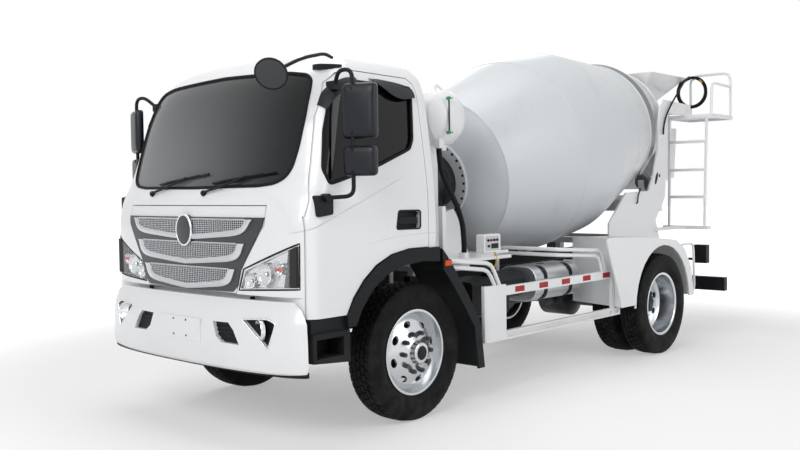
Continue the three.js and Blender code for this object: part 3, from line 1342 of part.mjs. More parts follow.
// Wash-down hose: a run from the support's clip up to the coil that hangs on the platform's rear rail.
const HOSE_R = 9;
const COIL_R = 165;
const COIL_BAND = 16;
const COIL_SIDES = 24;
const COIL_X = 560;
const COIL_Z = 2650;
const COIL_HALF = 22;
const COIL_Y = PLATFORM_REAR - 2 * RAIL_R - 40;
const HOSE_POINTS = [
  [708, 4251, 2130], [708, 4251, 2165], [708, 4272, 2245], [708, 4320, 2330], [708, 4395, 2415],
  [706, 4490, 2500], [698, 4600, 2580], [682, 4720, 2655], [660, 4840, 2720], [632, 4960, 2768],
  [602, 5070, 2798], [570, 5160, 2812], [562, COIL_Y - COIL_HALF - 30, 2813],
  [562, COIL_Y - COIL_HALF - GAP, 2813],
];
const washHose = () => hose(HOSE_POINTS, 26, HOSE_R);

function hoseCoil() {
  const [low, high, half] = [COIL_R - COIL_BAND, COIL_R + COIL_BAND, COIL_HALF];
  const section = [[low, -half], [high, -half], [high, half], [low, half]];
  const points = section.map(([r, u]) => new THREE.Vector2(r, u));
  points.push(points[0].clone());
  const geometry = new THREE.LatheGeometry(points, COIL_SIDES);
  geometry.translate(COIL_X, COIL_Y, COIL_Z);
  const body = solid(geometry);
  return body.volume() < 0 ? solid(flipped(geometry)) : body;
}

// ---- the truck --------------------------------------------------------------------------------------
const truck = new THREE.Group();
truck.name = 'concrete_mixer_truck';

function add(name, body, [color, roughness, metalness], parent = truck) {
  const material = new THREE.MeshStandardMaterial({ color, roughness, metalness });
  material.name = name;
  const mesh = new THREE.Mesh(geometryOf(body), material);
  mesh.name = name;
  parent.add(mesh);
  return mesh;
}

function axleGroup(y) {
  const group = new THREE.Group();
  group.position.set(0, y, TYRE_R);
  truck.add(group);
  return group;
}

add('chassis_frame', chassisFrame(), DARK_STEEL);
add('front_axle', frontAxle(), DARK_STEEL);
add('rear_axle', rearAxle(), DARK_STEEL);
add('engine_block', engineBlock(), DARK_STEEL);
add('fuel_tank', fuelTank(), SILVER);
add('battery_box', batteryBox(), BLACK);
add('exhaust_silencer', silencer(), DARK_STEEL);
add('underrun_bar', underrunBar(), BLACK);
add('front_stand', frontStand(), WHITE);
add('drum_gearbox', drumGearbox(), DARK_STEEL);
add('mixer_drum', mixerDrum(), DRUM_GREY);
add('rear_support', rearSupport(), WHITE);
add('charging_hopper', chargingHopper(), WHITE);
add('chute_arm', chuteArm(), WHITE);
add('discharge_chute', dischargeChute(), WHITE);
add('platform', platform(), WHITE);
add('ladder', ladder(), WHITE);
add('water_tank', waterTank(), WHITE);
add('control_box', controlBox(), WHITE);
add('water_hose', hose(WATER_HOSE_POINTS, 8, WATER_HOSE_R), RUBBER);
add('wash_hose', washHose(), RUBBER);
add('hose_coil', hoseCoil(), RUBBER);

add('cab_shell', cabShell(), WHITE);
add('windscreen', windscreen(), GLASS);
add('rear_window', rearWindow(), GLASS);
add('cab_seats', cabSeats(), SEAT);
add('dashboard', dashboard(), BLACK);
add('front_flap', frontFlap(), WHITE);
add('front_bumper', frontBumper(), WHITE);
add('corner_mirror', cornerMirror(), BLACK);

const frontAxleGroup = axleGroup(0);
const rearAxleGroup = axleGroup(WHEELBASE);
for (const [word, side] of [['left', 1], ['right', -1]]) {
  add(`headlamp_${word}`, headlamp(side), LENS);
  add(`step_${word}`, step(side), BLACK);
  add(`door_${word}`, door(side), WHITE);
  add(`door_glass_${word}`, doorGlass(side), GLASS);
  add(`mirror_${word}`, mirror(side), BLACK);
  add(`front_mudguard_${word}`, frontMudguard(side), BLACK);
  add(`rear_mudguard_${word}`, rearMudguard(side), WHITE);
  add(`side_guard_${word}`, sideGuard(side), WHITE);
  add(`drum_roller_${word}`, drumRoller(side), DARK_STEEL);
  add(`knuckle_${word}`, knuckle(side), DARK_STEEL);
  add(`front_rim_${word}`, onSide(side, frontRim()), SILVER, frontAxleGroup);
  add(`front_tyre_${word}`, onSide(side, tyre(FRONT_WHEEL_X)), RUBBER, frontAxleGroup);
  add(`rear_rims_${word}`, onSide(side, twinRims()), SILVER, rearAxleGroup);
  add(`rear_tyre_outer_${word}`, onSide(side, tyre(TWIN_X + TWIN_HALF_PITCH)), RUBBER, rearAxleGroup);
  add(`rear_tyre_inner_${word}`, onSide(side, tyre(TWIN_X - TWIN_HALF_PITCH)), RUBBER, rearAxleGroup);
}

// The frame's origin lies under the middle of the whole length.
const extent = new THREE.Box3().setFromObject(truck);
truck.position.y = -(extent.min.y + extent.max.y) / 2;

export default truck;
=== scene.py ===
import json
import math
from functools import lru_cache

import bmesh
import bpy
from mathutils import Matrix, Vector

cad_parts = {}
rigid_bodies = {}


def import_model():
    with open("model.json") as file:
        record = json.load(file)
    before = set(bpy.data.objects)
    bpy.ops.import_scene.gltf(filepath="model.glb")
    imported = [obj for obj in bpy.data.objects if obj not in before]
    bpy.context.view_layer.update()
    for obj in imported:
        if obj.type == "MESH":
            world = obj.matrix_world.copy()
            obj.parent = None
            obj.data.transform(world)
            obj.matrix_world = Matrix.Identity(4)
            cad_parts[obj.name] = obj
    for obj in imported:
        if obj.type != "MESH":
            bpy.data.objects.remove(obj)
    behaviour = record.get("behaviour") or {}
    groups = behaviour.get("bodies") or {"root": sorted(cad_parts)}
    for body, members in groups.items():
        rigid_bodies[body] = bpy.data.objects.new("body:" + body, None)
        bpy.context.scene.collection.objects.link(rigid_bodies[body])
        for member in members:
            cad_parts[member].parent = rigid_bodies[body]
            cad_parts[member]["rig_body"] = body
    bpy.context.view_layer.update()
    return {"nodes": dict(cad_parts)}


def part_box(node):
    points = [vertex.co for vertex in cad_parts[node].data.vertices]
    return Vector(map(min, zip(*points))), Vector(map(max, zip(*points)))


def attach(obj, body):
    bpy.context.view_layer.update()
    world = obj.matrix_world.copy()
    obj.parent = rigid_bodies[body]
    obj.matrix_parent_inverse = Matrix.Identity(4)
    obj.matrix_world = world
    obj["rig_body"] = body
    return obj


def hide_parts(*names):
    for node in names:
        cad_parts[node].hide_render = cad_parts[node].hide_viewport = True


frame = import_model()

bl_info = {
    "name": "Concrete Mixer Truck",
    "version": (1, 0, 0),
    "blender": (4, 5, 0),
    "location": "View3D > Sidebar > Mixer Truck",
    "description": "Builds the finished surfaces of a concrete mixer truck round its CAD frame",
    "category": "Add Mesh",
}


def middle(node):
    low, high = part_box(node)
    return (low + high) / 2


AXLE_Y = middle("front_rim_left").y        # the front axle's place in the frame
SIDES = {"left": 1, "right": -1}


def mm(x, y, z):
    """A point given in millimetres from the front axle's line on the ground."""
    return Vector((x / 1000, y / 1000 + AXLE_Y, z / 1000))


def angles(count):
    """Angles spread evenly round a full turn."""
    return [2 * math.pi * i / count for i in range(count)]


def body_of(node):
    """Name of the body that a CAD node belongs to."""
    return frame["nodes"][node]["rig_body"]


# ---- sizes and colours a user may change ------------------------------------------------------------------


def tint(hex_code):
    """Linear colour of a hex code."""
    parts = [int(hex_code[i:i + 2], 16) / 255 for i in (0, 2, 4)]
    return [p / 12.92 if p <= 0.04045 else ((p + 0.055) / 1.055) ** 2.4 for p in parts]


class TruckPaint(bpy.types.PropertyGroup):
    """Colours of the truck's paint."""

    cab: bpy.props.FloatVectorProperty(
        name="Cab", description="Paint of the cab and the bodywork", subtype="COLOR",
        size=3, min=0, max=1, default=tint("eeeff1"))
    drum: bpy.props.FloatVectorProperty(
        name="Drum", description="Paint of the mixing drum", subtype="COLOR",
        size=3, min=0, max=1, default=tint("d3d7da"))
    chassis: bpy.props.FloatVectorProperty(
        name="Chassis", description="Paint of the frame rails", subtype="COLOR",
        size=3, min=0, max=1, default=tint("141619"))
    mirror: bpy.props.FloatVectorProperty(
        name="Mirrors", description="Plastic of the mirror heads", subtype="COLOR",
        size=3, min=0, max=1, default=tint("0e131b"))


class TruckSizes(bpy.types.PropertyGroup):
    """Sizes of the truck's fine detail."""

    tread_depth: bpy.props.FloatProperty(
        name="Tread Depth", description="Depth of the tyres' grooves", unit="LENGTH",
        min=0, max=0.02, default=0.011)
    tread_blocks: bpy.props.IntProperty(
        name="Tread Blocks", description="Blocks round one tyre", min=20, max=90, default=52)
    wheel_nuts: bpy.props.IntProperty(
        name="Wheel Nuts", description="Nuts on one wheel", min=5, max=12, default=10)
    mesh_pitch: bpy.props.FloatProperty(
        name="Mesh Pitch", description="Distance between the grille's wires", unit="LENGTH",
        min=0.006, max=0.05, default=0.0125)
    key_light: bpy.props.FloatProperty(
        name="Key Light", description="Power of the main lamp", unit="POWER",
        min=0, max=5000, default=560)


# ---- shader building --------------------------------------------------------------------------------------


def feed(tree, socket, value):
    """Links an input to a Value or a socket, or sets it to a plain value."""
    if isinstance(value, Value):
        value = value.socket
    if isinstance(value, bpy.types.NodeSocket):
        tree.links.new(value, socket)
    else:
        socket.default_value = value


def add_node(tree, kind, settings=None, inputs=None):
    """New node with its settings and inputs."""
    node = tree.nodes.new(kind)
    for key, value in (settings or {}).items():
        setattr(node, key, value)
    for key, value in (inputs or {}).items():
        feed(tree, node.inputs[key], value)
    return node


class Value:
    """A shader number that Python's signs work on."""

    def __init__(self, tree, socket):
        self.tree = tree
        self.socket = socket

    def maths(self, operation, *operands):
        node = add_node(self.tree, "ShaderNodeMath", {"operation": operation}, dict(enumerate(operands)))
        return Value(self.tree, node.outputs[0])

    def __add__(self, other):
        return self.maths("ADD", self, other)

    __radd__ = __add__

    def __sub__(self, other):
        return self.maths("SUBTRACT", self, other)

    def __rsub__(self, other):
        return self.maths("SUBTRACT", other, self)

    def __mul__(self, other):
        return self.maths("MULTIPLY", self, other)

    __rmul__ = __mul__

    def step(self, low, high):
        """0 below low, 1 above high, smooth between."""
        node = add_node(self.tree, "ShaderNodeMapRange", {"interpolation_type": "SMOOTHSTEP"},
                        {"Value": self, "From Min": low, "From Max": high})
        return Value(self.tree, node.outputs[0])


class Finish:
    """A procedural material on one Principled shader."""

    def __init__(self, name, roughness=0.5, **constants):
        self.material = bpy.data.materials.new(name)
        self.material.use_nodes = True
        self.tree = self.material.node_tree
        self.tree.nodes.clear()
        self.shader = self.node("ShaderNodeBsdfPrincipled", inputs={"Roughness": roughness})
        for socket, value in constants.items():
            self.shader.inputs[socket.replace("_", " ").title().replace("Ior", "IOR")].default_value = value
        output = self.node("ShaderNodeOutputMaterial")
        self.tree.links.new(self.shader.outputs[0], output.inputs["Surface"])
        self.place = self.node("ShaderNodeTexCoord").outputs["Object"]

    def node(self, kind, settings=None, inputs=None):
        return add_node(self.tree, kind, settings, inputs)

    def axis(self, letter):
        """The place along X, Y or Z, in metres."""
        node = self.node("ShaderNodeSeparateXYZ", inputs={0: self.place})
        return Value(self.tree, node.outputs["XYZ".index(letter)])

    def noise(self, scale, detail=3.0, stretch=(1, 1, 1)):
        where = self.place
        if stretch != (1, 1, 1):
            where = self.node("ShaderNodeMapping", inputs={"Vector": where, "Scale": stretch}).outputs[0]
        node = self.node("ShaderNodeTexNoise", inputs={
            "Vector": where, "Scale": scale, "Detail": detail, "Roughness": 0.55})
        return Value(self.tree, node.outputs["Fac"])

    def blend(self, mask, low, high):
        """Colour that goes from low to high with the mask."""
        node = self.node("ShaderNodeMix", {"data_type": "RGBA"}, {0: mask})
        for slot, value in ((6, low), (7, high)):
            colour = (*value[:3], 1) if isinstance(value, (list, tuple)) else value
            feed(self.tree, node.inputs[slot], colour)
        return node.outputs[2]

    def set(self, socket, value):
        feed(self.tree, self.shader.inputs[socket], value)
        return self

    def bump(self, height, distance, strength=1.0):
        node = self.node("ShaderNodeBump", inputs={
            "Height": height, "Distance": distance, "Strength": strength})
        return self.set("Normal", node.outputs[0])


def shaded(colour, factor):
    return [min(1.0, c * factor) for c in colour[:3]]


def worn(name, colour, roughness, mottle=0.05, spread=2.5, grain=0.0, grain_scale=300, dust=0.0,
         stretch=(1, 1, 1), **constants):
    """A finish with cloudy colour, uneven gloss, a fine grain and some road dust low down."""
    finish = Finish(name, roughness, **constants)
    cloud = finish.noise(spread, 5, stretch)
    fine = finish.noise(spread * 9, 3, stretch)
    paint = finish.blend(cloud, shaded(colour, 1 - mottle), shaded(colour, 1 + mottle))
    if dust:
        low = 1 - finish.axis("Z").step(0.25, 1.25)
        paint = finish.blend(low * cloud.step(0.35, 0.75) * dust, paint, tint("8b8880"))
    finish.set("Base Color", paint)
    finish.set("Roughness", roughness * 0.8 + (fine * 0.25 + cloud * 0.15) * roughness)
    if grain:
        finish.bump(finish.noise(grain_scale, 2, stretch), grain)
    return finish


def cab_paint(name, colour):
    """Glossy coat with a faint orange peel, and the pressed lines of the doors and the corners."""
    finish = worn(name, colour, 0.3, mottle=0.012, spread=1.5, dust=0.12, coat_weight=0.5,
                  coat_roughness=0.06)
    along = finish.axis("Y") - AXLE_Y
    height = finish.axis("Z")
    upper = (height - (1.345 + (along + 1.08) * 0.38)).step(-0.006, 0.006)
    lower = (height - (1.30 - ((along - 0.02) * (along - 0.02)) * 0.14)).step(-0.005, 0.005)
    behind = (along + 1.09).step(-0.01, 0.01) * (1 - height.step(1.64, 1.72))
    presses = behind * (upper * 1.0) + (along + 0.5).step(-0.2, 0.2) * lower * 0.6
    return finish.bump(presses + finish.noise(260, 1) * 0.02, 0.006)


def brushed(name, colour, roughness, along, metallic=0.9):
    """Rolled sheet metal with fine lines along one way."""
    stretch = tuple(1.0 if letter == along else 40.0 for letter in "XYZ")
    finish = Finish(name, roughness, metallic=metallic)
    lines = finish.noise(6, 4, stretch)
    cloud = finish.noise(4, 4)
    finish.set("Base Color", finish.blend(cloud * 0.5 + lines * 0.5, shaded(colour, 0.78),
                                          shaded(colour, 1.1)))
    finish.set("Roughness", roughness * 0.6 + (lines * 0.7 + cloud * 0.3) * roughness)
    return finish.bump(lines, 0.0004)


def clear(name, colour, alpha, roughness=0.04, painted_reflection=None):
    """Glass: dark or clear, with its see-through share, and maybe a painted reflection that makes it lighter
    and clearer along X.
    """
    finish = Finish(name, roughness, specular_ior_level=0.3)
    streak = finish.noise(1.4, 3)
    finish.set("Base Color", finish.blend(streak, shaded(colour, 0.7), shaded(colour, 1.4)))
    finish.set("Roughness", roughness + streak * 0.04)
    share = alpha + (streak - 0.5) * 0.02
    if painted_reflection:
        # painted reflection: lighter grey, clearer glass towards low X, weaker high up
        reach = (1 - finish.axis("X").step(*painted_reflection[:2])) * (1 - finish.axis("Z").step(1.7, 2.5) * 0.6)
        share = share - reach * painted_reflection[2]
        finish.set("Base Color", finish.blend(reach, colour, painted_reflection[3]))
    finish.set("Alpha", share)
    return finish


def rubber(name, colour, roughness=0.75, dust=0.15):
    return worn(name, colour, roughness, mottle=0.12, spread=9, grain=0.0006, grain_scale=420, dust=dust,
                specular_ior_level=0.12)


def glowing(name, colour, roughness=0.12):
    """Moulded lamp plastic with its small prisms."""
    finish = Finish(name, roughness, specular_ior_level=0.3)
    cells = finish.node("ShaderNodeTexVoronoi", {"feature": "F1"}, {"Vector": finish.place, "Scale": 160.0})
    cell = Value(finish.tree, cells.outputs["Distance"])
    finish.set("Base Color", finish.blend(cell.step(0.1, 0.9), shaded(colour, 0.75), shaded(colour, 1.25)))
    return finish.bump(cell, 0.0015)


FINISHES = {}


def finishes(paint):
    """Every finish of the truck, by name."""
    steel = tint("34363a")
    made = {
        "cab white": cab_paint("cab_white", paint.cab),
        "white": worn("body_white", paint.cab, 0.34, mottle=0.02, spread=1.8, grain=0.0004, grain_scale=130,
                      dust=0.22, coat_weight=0.35, coat_roughness=0.1),
        "chassis": worn("chassis_black", paint.chassis, 0.45, mottle=0.2, grain=0.0006, grain_scale=90,
                        dust=0.15, specular_ior_level=0.2),
        "steel": worn("dark_steel", steel, 0.42, mottle=0.3, spread=6, grain=0.001, grain_scale=120, dust=0.3,
                      metallic=0.6),
        "plastic": worn("black_plastic", tint("111316"), 0.46, mottle=0.12, grain=0.0006, grain_scale=700,
                        dust=0.05, specular_ior_level=0.18),
        "flare": worn("flare_plastic", tint("131518"), 0.5, mottle=0.12, grain=0.0008, grain_scale=500,
                      dust=0.06, specular_ior_level=0.15),
        "mirror shell": worn("mirror_shell", paint.mirror, 0.32, mottle=0.15, spread=5, grain=0.0003,
                             grain_scale=600, specular_ior_level=0.3),
        "mirror face": worn("mirror_face", tint("c9ced2"), 0.04, mottle=0.02, metallic=1.0),
        "charcoal": worn("charcoal_grille", tint("1f2328"), 0.38, mottle=0.1, spread=8, grain=0.0004,
                         grain_scale=500, coat_weight=0.2),
        "silver": worn("silver_trim", tint("c3c6c9"), 0.26, mottle=0.05, spread=9, metallic=0.85,
                       coat_weight=0.3),
        "chrome": worn("chrome", tint("dde0e2"), 0.07, mottle=0.04, spread=12, metallic=1.0),
        "rim": worn("polished_rim", tint("c9cccf"), 0.2, mottle=0.1, spread=9, grain=0.0002, grain_scale=200,
                    metallic=0.95),
        "aluminium": brushed("fuel_tank_sheet", tint("c6c9cc"), 0.3, "Y"),
        "steel sheet": brushed("panel_sheet", tint("b5b8bb"), 0.35, "Z"),
        "rubber": rubber("window_rubber", tint("15161a"), 0.6, dust=0.05),
        "tyre": rubber("tyre_rubber", tint("0f1012"), 0.7, dust=0.08),
        "hose": rubber("hose_rubber", tint("191a1d"), 0.55),
        # windscreen: painted reflection, lighter grey glass towards the truck's right side
        "screen": clear("windscreen_glass", tint("0f1114"), 0.9, painted_reflection=(-0.8, 0.95, 0.12, tint("8b8d8f"))),
        "door glass": clear("door_glass", tint("0c0d0f"), 0.93),
        "lens": clear("lamp_lens", tint("e8ecef"), 0.16, 0.03),
        "red": glowing("red_reflector", tint("a8060c"), 0.35),
        "amber": glowing("amber_lamp", tint("d9480c"), 0.3),
        "green": worn("green_valve", tint("2f8f57"), 0.35, mottle=0.1, spread=20, coat_weight=0.3),
        "brass": worn("brass", tint("b08d4a"), 0.3, mottle=0.15, spread=20, metallic=1.0),
        "yellow": worn("yellow_cable", tint("e0b52a"), 0.5, mottle=0.08, spread=20),
        "plate": worn("blank_plate", tint("f0f1f2"), 0.4, mottle=0.02),
        # near-black finish: painted shade standing in for the inside of openings and deep recesses
        "dark": worn("painted_shade_opening", tint("0b0c0e"), 0.7, mottle=0.2),
    }
    cloth = worn("seat_cloth", tint("3b3e44"), 0.85, mottle=0.12, spread=6)
    weave = cloth.noise(900, 1, (1, 1, 3)) + cloth.noise(900, 1, (3, 3, 1))
    made["cloth"] = cloth.bump(weave, 0.0006)
    drum = worn("drum_paint", paint.drum, 0.38, mottle=0.02, spread=1.2, grain=0.0006, grain_scale=60,
                coat_weight=0.2, coat_roughness=0.15)
    streaks = drum.noise(3, 4, (1, 1, 0.25)).step(0.52, 0.8)
    drum.set("Base Color", drum.blend(streaks * 0.35, shaded(paint.drum, 1.0), tint("bdbfbf")))
    made["drum"] = drum
    made["worn steel"] = worn("roller_steel", tint("7b7d80"), 0.3, mottle=0.2, spread=15, metallic=0.9)
    return {name: finish.material for name, finish in made.items()}


# ---- mesh building ----------------------------------------------------------------------------------------


class Piece:
    """Faces of one piece, gathered in millimetres from the front axle. A side of -1 mirrors it."""

    def __init__(self, name, *looks, side=1):
        self.name = name
        self.looks = looks
        self.side = side
        self.bm = bmesh.new()

    def faces(self, points, faces, look=0):
        verts = [self.bm.verts.new(mm(self.side * p[0], p[1], p[2])) for p in points]
        for loop in faces:
            self.bm.faces.new([verts[i] for i in loop]).material_index = look
        return self

    def rings(self, rings, look=0, around=True, caps=True, closed=False):
        """Skin through rings of points; closed joins the last ring to the first."""
        count = len(rings[0])
        points = [p for ring in rings for p in ring]
        faces = []
        for i in range(len(rings) if closed else len(rings) - 1):
            here, there = i * count, (i + 1) % len(rings) * count
            for j in range(count if around else count - 1):
                k = (j + 1) % count
                faces.append((here + j, here + k, there + k, there + j))
        if caps and not closed:
            faces.append(tuple(range(count - 1, -1, -1)))
            faces.append(tuple(range((len(rings) - 1) * count, len(rings) * count)))
        return self.faces(points, faces, look)

    def prism(self, outline, axis, low, high, look=0):
        order = {"x": lambda a, b, t: (t, a, b), "y": lambda a, b, t: (a, t, b),
                 "z": lambda a, b, t: (a, b, t)}
        return self.rings([[order[axis](a, b, t) for a, b in outline] for t in (low, high)], look)

    def box(self, x0, x1, y0, y1, z0, z1, look=0):
        return self.prism([(y0, z0), (y1, z0), (y1, z1), (y0, z1)], "x", x0, x1, look)

    def turned(self, profile, centre, axis=(1, 0, 0), sides=48, look=0, closed=False):
        """Turned shape: the profile's points are distance along the axis and radius."""
        line = Vector(axis).normalized()
        across = line.orthogonal().normalized()
        other = line.cross(across)
        rings = []
        for angle in angles(sides):
            spoke = across * math.cos(angle) + other * math.sin(angle)
            rings.append([tuple(Vector(centre) + line * u + spoke * r) for u, r in profile])
        return self.rings(rings, look, around=closed, caps=False, closed=True)

    def rod(self, start, end, radius, sides=16, look=0):
        start, end = Vector(start), Vector(end)
        length = (end - start).length
        return self.turned([(0, 0), (0, radius), (length, radius), (length, 0)], start, end - start, sides,
                           look)

    def tube(self, points, radius, bend=0, sides=12, look=0, closed=False, flat=1.0):
        """Round bar along a route; flat squeezes it along the route's own normal."""
        route = bent(points, bend, closed) if bend else [Vector(p) for p in points]
        rings = []
        side_way = None
        for i, here in enumerate(route):
            before = route[i - 1] if i or closed else here
            after = route[(i + 1) % len(route)] if i + 1 < len(route) or closed else here
            way = (after - before).normalized()
            if side_way is None:
                side_way = way.orthogonal()
            side_way = (side_way - way * side_way.dot(way)).normalized()
            up = way.cross(side_way)
            rings.append([tuple(here + side_way * radius * math.cos(a) + up * radius * flat * math.sin(a))
                          for a in angles(sides)])
        return self.rings(rings, look, closed=closed)

    def mesh(self):
        bmesh.ops.remove_doubles(self.bm, verts=self.bm.verts, dist=2e-6)
        bmesh.ops.dissolve_degenerate(self.bm, edges=self.bm.edges, dist=1e-6)
        bmesh.ops.recalc_face_normals(self.bm, faces=self.bm.faces)
        mesh = bpy.data.meshes.new(self.name)
        self.bm.to_mesh(mesh)
        self.bm.free()
        return mesh

    def make(self, body, nodes=(), slot=None, bevel=0, angle=38):
        return show(self.mesh(), self.name, self.looks, body, nodes, bevel, angle)


def bent(points, radius, closed=False, steps=5):
    """Route through the points with its corners rounded to the radius."""
    points = [Vector(p) for p in points]
    route = []
    for i, corner in enumerate(points):
        if not closed and i in (0, len(points) - 1):
            route.append(corner)
            continue
        before, after = points[i - 1], points[(i + 1) % len(points)]
        reach = min(radius, (before - corner).length * 0.48, (after - corner).length * 0.48)
        start = corner + (before - corner).normalized() * reach
        end = corner + (after - corner).normalized() * reach
        for k in range(steps + 1):
            t = k / steps
            route.append(start * (1 - t) ** 2 + corner * 2 * t * (1 - t) + end * t * t)
    return route


def flat_bent(points, radius, steps=5):
    """Outline in two numbers with its corners rounded."""
    return [(p.x, p.y) for p in bent([(a, b, 0) for a, b in points], radius, True, steps)]


def show(mesh, name, looks, body, nodes=(), bevel=0, angle=38):
    """Object of the mesh, with its finishes, riding on the body and standing for the nodes."""
    obj = bpy.data.objects.new(name, mesh)
    bpy.context.scene.collection.objects.link(obj)
    for look in looks:
        mesh.materials.append(FINISHES[look])
    mesh.shade_smooth()
    mesh.set_sharp_from_angle(angle=math.radians(angle))
    if bevel:
        edge = obj.modifiers.new("Edges", "BEVEL")
        edge.width = bevel / 1000
        edge.segments = 2
        edge.limit_method = "ANGLE"
        edge.angle_limit = math.radians(angle)
        edge.harden_normals = True
    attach(obj, body)
    if nodes:
        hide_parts(*([nodes] if isinstance(nodes, str) else nodes))
    return obj


def shaped(base, *steps):
    """Mesh of the base after each step of (operation, mesh) in turn. The meshes are used up."""
    scene = bpy.context.scene.collection.objects
    holder = bpy.data.objects.new("shaping", base)
    scene.link(holder)
    tools = []
    for operation, mesh in steps:
        tool = bpy.data.objects.new("shaping_tool", mesh)
        scene.link(tool)
        tools.append(tool)
        cut = holder.modifiers.new("Cut", "BOOLEAN")
        cut.operation = operation
        cut.object = tool
        cut.solver = "MANIFOLD"
    graph = bpy.context.evaluated_depsgraph_get()
    made = bpy.data.meshes.new_from_object(holder.evaluated_get(graph))
    made.materials.clear()
    for obj in (holder, *tools):
        used = obj.data
        bpy.data.objects.remove(obj)
        bpy.data.meshes.remove(used)
    return made


def grown(bm, name, build, body, **inputs):
    """Mesh object made by a Geometry Nodes tree from a bmesh, which is used up."""
    seeds = bpy.data.meshes.new(name)
    bm.to_mesh(seeds)
    bm.free()
    obj = bpy.data.objects.new(name, seeds)
    bpy.context.scene.collection.objects.link(obj)
    modifier = obj.modifiers.new("Nodes", "NODES")
    modifier.node_group = build
    for item in build.interface.items_tree:
        if item.item_type == "SOCKET" and item.in_out == "INPUT" and item.name in inputs:
            modifier[item.identifier] = inputs[item.name]
    obj.update_tag()
    graph = bpy.context.evaluated_depsgraph_get()
    mesh = bpy.data.meshes.new_from_object(obj.evaluated_get(graph))
    bpy.data.objects.remove(obj)
    bpy.data.meshes.remove(seeds)
    made = bpy.data.objects.new(name, mesh)
    bpy.context.scene.collection.objects.link(made)
    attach(made, body)
    return made


def softened(node, look, bevel=3, angle=32):
    """A CAD node's shape with its edges rounded off."""
    source = frame["nodes"][node]
    bm = bmesh.new()
    bm.from_mesh(source.data)
    bmesh.ops.remove_doubles(bm, verts=bm.verts, dist=1e-5)
    bmesh.ops.dissolve_limit(bm, angle_limit=math.radians(0.4), verts=bm.verts, edges=bm.edges)
    mesh = bpy.data.meshes.new(node + "_finish")
    bm.to_mesh(mesh)
    bm.free()
    return show(mesh, node + "_finish", [look], body_of(node), node, bevel, angle)


# ---- the cab's skin ---------------------------------------------------------------------------------------

CAB_HALF = 1080
CAB_FRONT = -1168
CAB_REAR = 150
# height, narrowing of each side, setback of the front, depth of its bow, setback of the rear
CAB_SECTIONS = (
    (820, 0, 3, 200, 0), (1350, 0, 0, 200, 0), (1520, 3, 22, 210, 0), (1640, 12, 70, 225, 0),
    (1760, 26, 106, 240, 0), (2050, 66, 183, 250, 0), (2230, 95, 250, 250, 3), (2330, 122, 306, 250, 12),
    (2410, 178, 386, 250, 38), (2470, 290, 486, 220, 96), (2505, 450, 600, 190, 175),
    (2525, 700, 750, 150, 300),
)
BOW_POWER = 2.5


@lru_cache(maxsize=None)
def cab_section(z):
    """Half width, front, bow and rear of the cab at a height, on lines that never overshoot the sections."""
    table = CAB_SECTIONS
    z = min(max(z, table[0][0]), table[-1][0])
    i = next(k for k in range(len(table) - 1) if z <= table[k + 1][0])
    row = []
    for column in range(1, 5):
        slopes = [(b[column] - a[column]) / (b[0] - a[0]) for a, b in zip(table, table[1:])]

        def lean(k):
            if k in (0, len(table) - 1):
                return slopes[min(k, len(slopes) - 1)]
            before, after = slopes[k - 1], slopes[k]
            return 0 if before * after <= 0 else 2 * before * after / (before + after)

        (z0, z1), (v0, v1) = (table[i][0], table[i + 1][0]), (table[i][column], table[i + 1][column])
        width = z1 - z0
        t = (z - z0) / width
        row.append(v0 * (2 * t ** 3 - 3 * t * t + 1) + width * lean(i) * (t ** 3 - 2 * t * t + t)
                   + v1 * (3 * t * t - 2 * t ** 3) + width * lean(i + 1) * (t ** 3 - t * t))
    narrow, back, bow, rear = row
    return CAB_HALF - narrow, CAB_FRONT + back, bow, CAB_REAR - rear


def skin_x(y, z, out=0):
    """How far out the cab's side is, at a point along and up."""
    half, front, bow, _ = cab_section(z)
    ahead = min(max((front + bow - y) / bow, 0), 0.9999)
    return half * (1 - ahead ** BOW_POWER) ** (1 / BOW_POWER) + out


def skin_y(x, z, out=0):
    """How far forward the cab's front is, at a point across and up."""
    half, front, bow, _ = cab_section(z)
    aside = min(abs(x) / half, 0.9999)
    return front + bow - bow * (1 - aside ** BOW_POWER) ** (1 / BOW_POWER) - out


def plan_ring(half, front, rear, bow, z, corner=70, steps=22):
    """Level outline with a bowed front and rounded rear corners, from the middle of the front round."""
    right = []
    for i in range(steps + 1):
        angle = math.pi / 2 * i / steps
        right.append((half * math.sin(angle) ** (2 / BOW_POWER),
                      front + bow - bow * max(math.cos(angle), 0) ** (2 / BOW_POWER), z))
    corner = min(corner, half * 0.9, (rear - front - bow) * 0.9)
    for i in range(7):
        angle = math.pi / 2 * i / 6
        right.append((half - corner + corner * math.cos(angle), rear - corner + corner * math.sin(angle), z))
    right.append((0, rear, z))
    return right + [(-x, y, z) for x, y, z in reversed(right[1:-1])]


def heights():
    """Heights of the skin's rings, closer where the sections change fast."""
    levels = []
    for (z0, *_), (z1, *_) in zip(CAB_SECTIONS, CAB_SECTIONS[1:]):
        count = max(2, min(6, int((z1 - z0) / 18)))
        levels += [z0 + (z1 - z0) * i / count for i in range(count)]
    return levels + [CAB_SECTIONS[-1][0]]


def cab_solid(inset=0, front_inset=None, bottom=None):
    """The cab's whole volume, set in from its skin."""
    front_inset = inset if front_inset is None else front_inset
    piece = Piece("cab_solid")
    rings = []
    for z in heights():
        half, front, bow, rear = cab_section(z)
        drop = inset * min(max((z - 2300) / 225, 0), 1)
        rings.append(plan_ring(half - inset, front + front_inset, rear - inset, bow, z - drop,
                               max(70 - inset, 12)))
    if bottom is not None:
        rings[0] = [(x, y, bottom) for x, y, _ in rings[0]]
    piece.rings(rings)
    return piece.mesh()


UNDERSIDE = ((-760, 820), (-700, 920), (-607, 1024), (-489, 1112), (-344, 1172), (-169, 1200))


def arch_solid(lift=0):
    """What is below the cab's floor: wheel arch and engine."""
    points = [(-1600, 500), (-1600, 820 + lift)] + [(y - lift * 0.3, z + lift) for y, z in UNDERSIDE]
    points += [(700, 1200 + lift), (700, 500)]
    return Piece("under_cab").prism(points, "x", -1300, 1300).mesh()


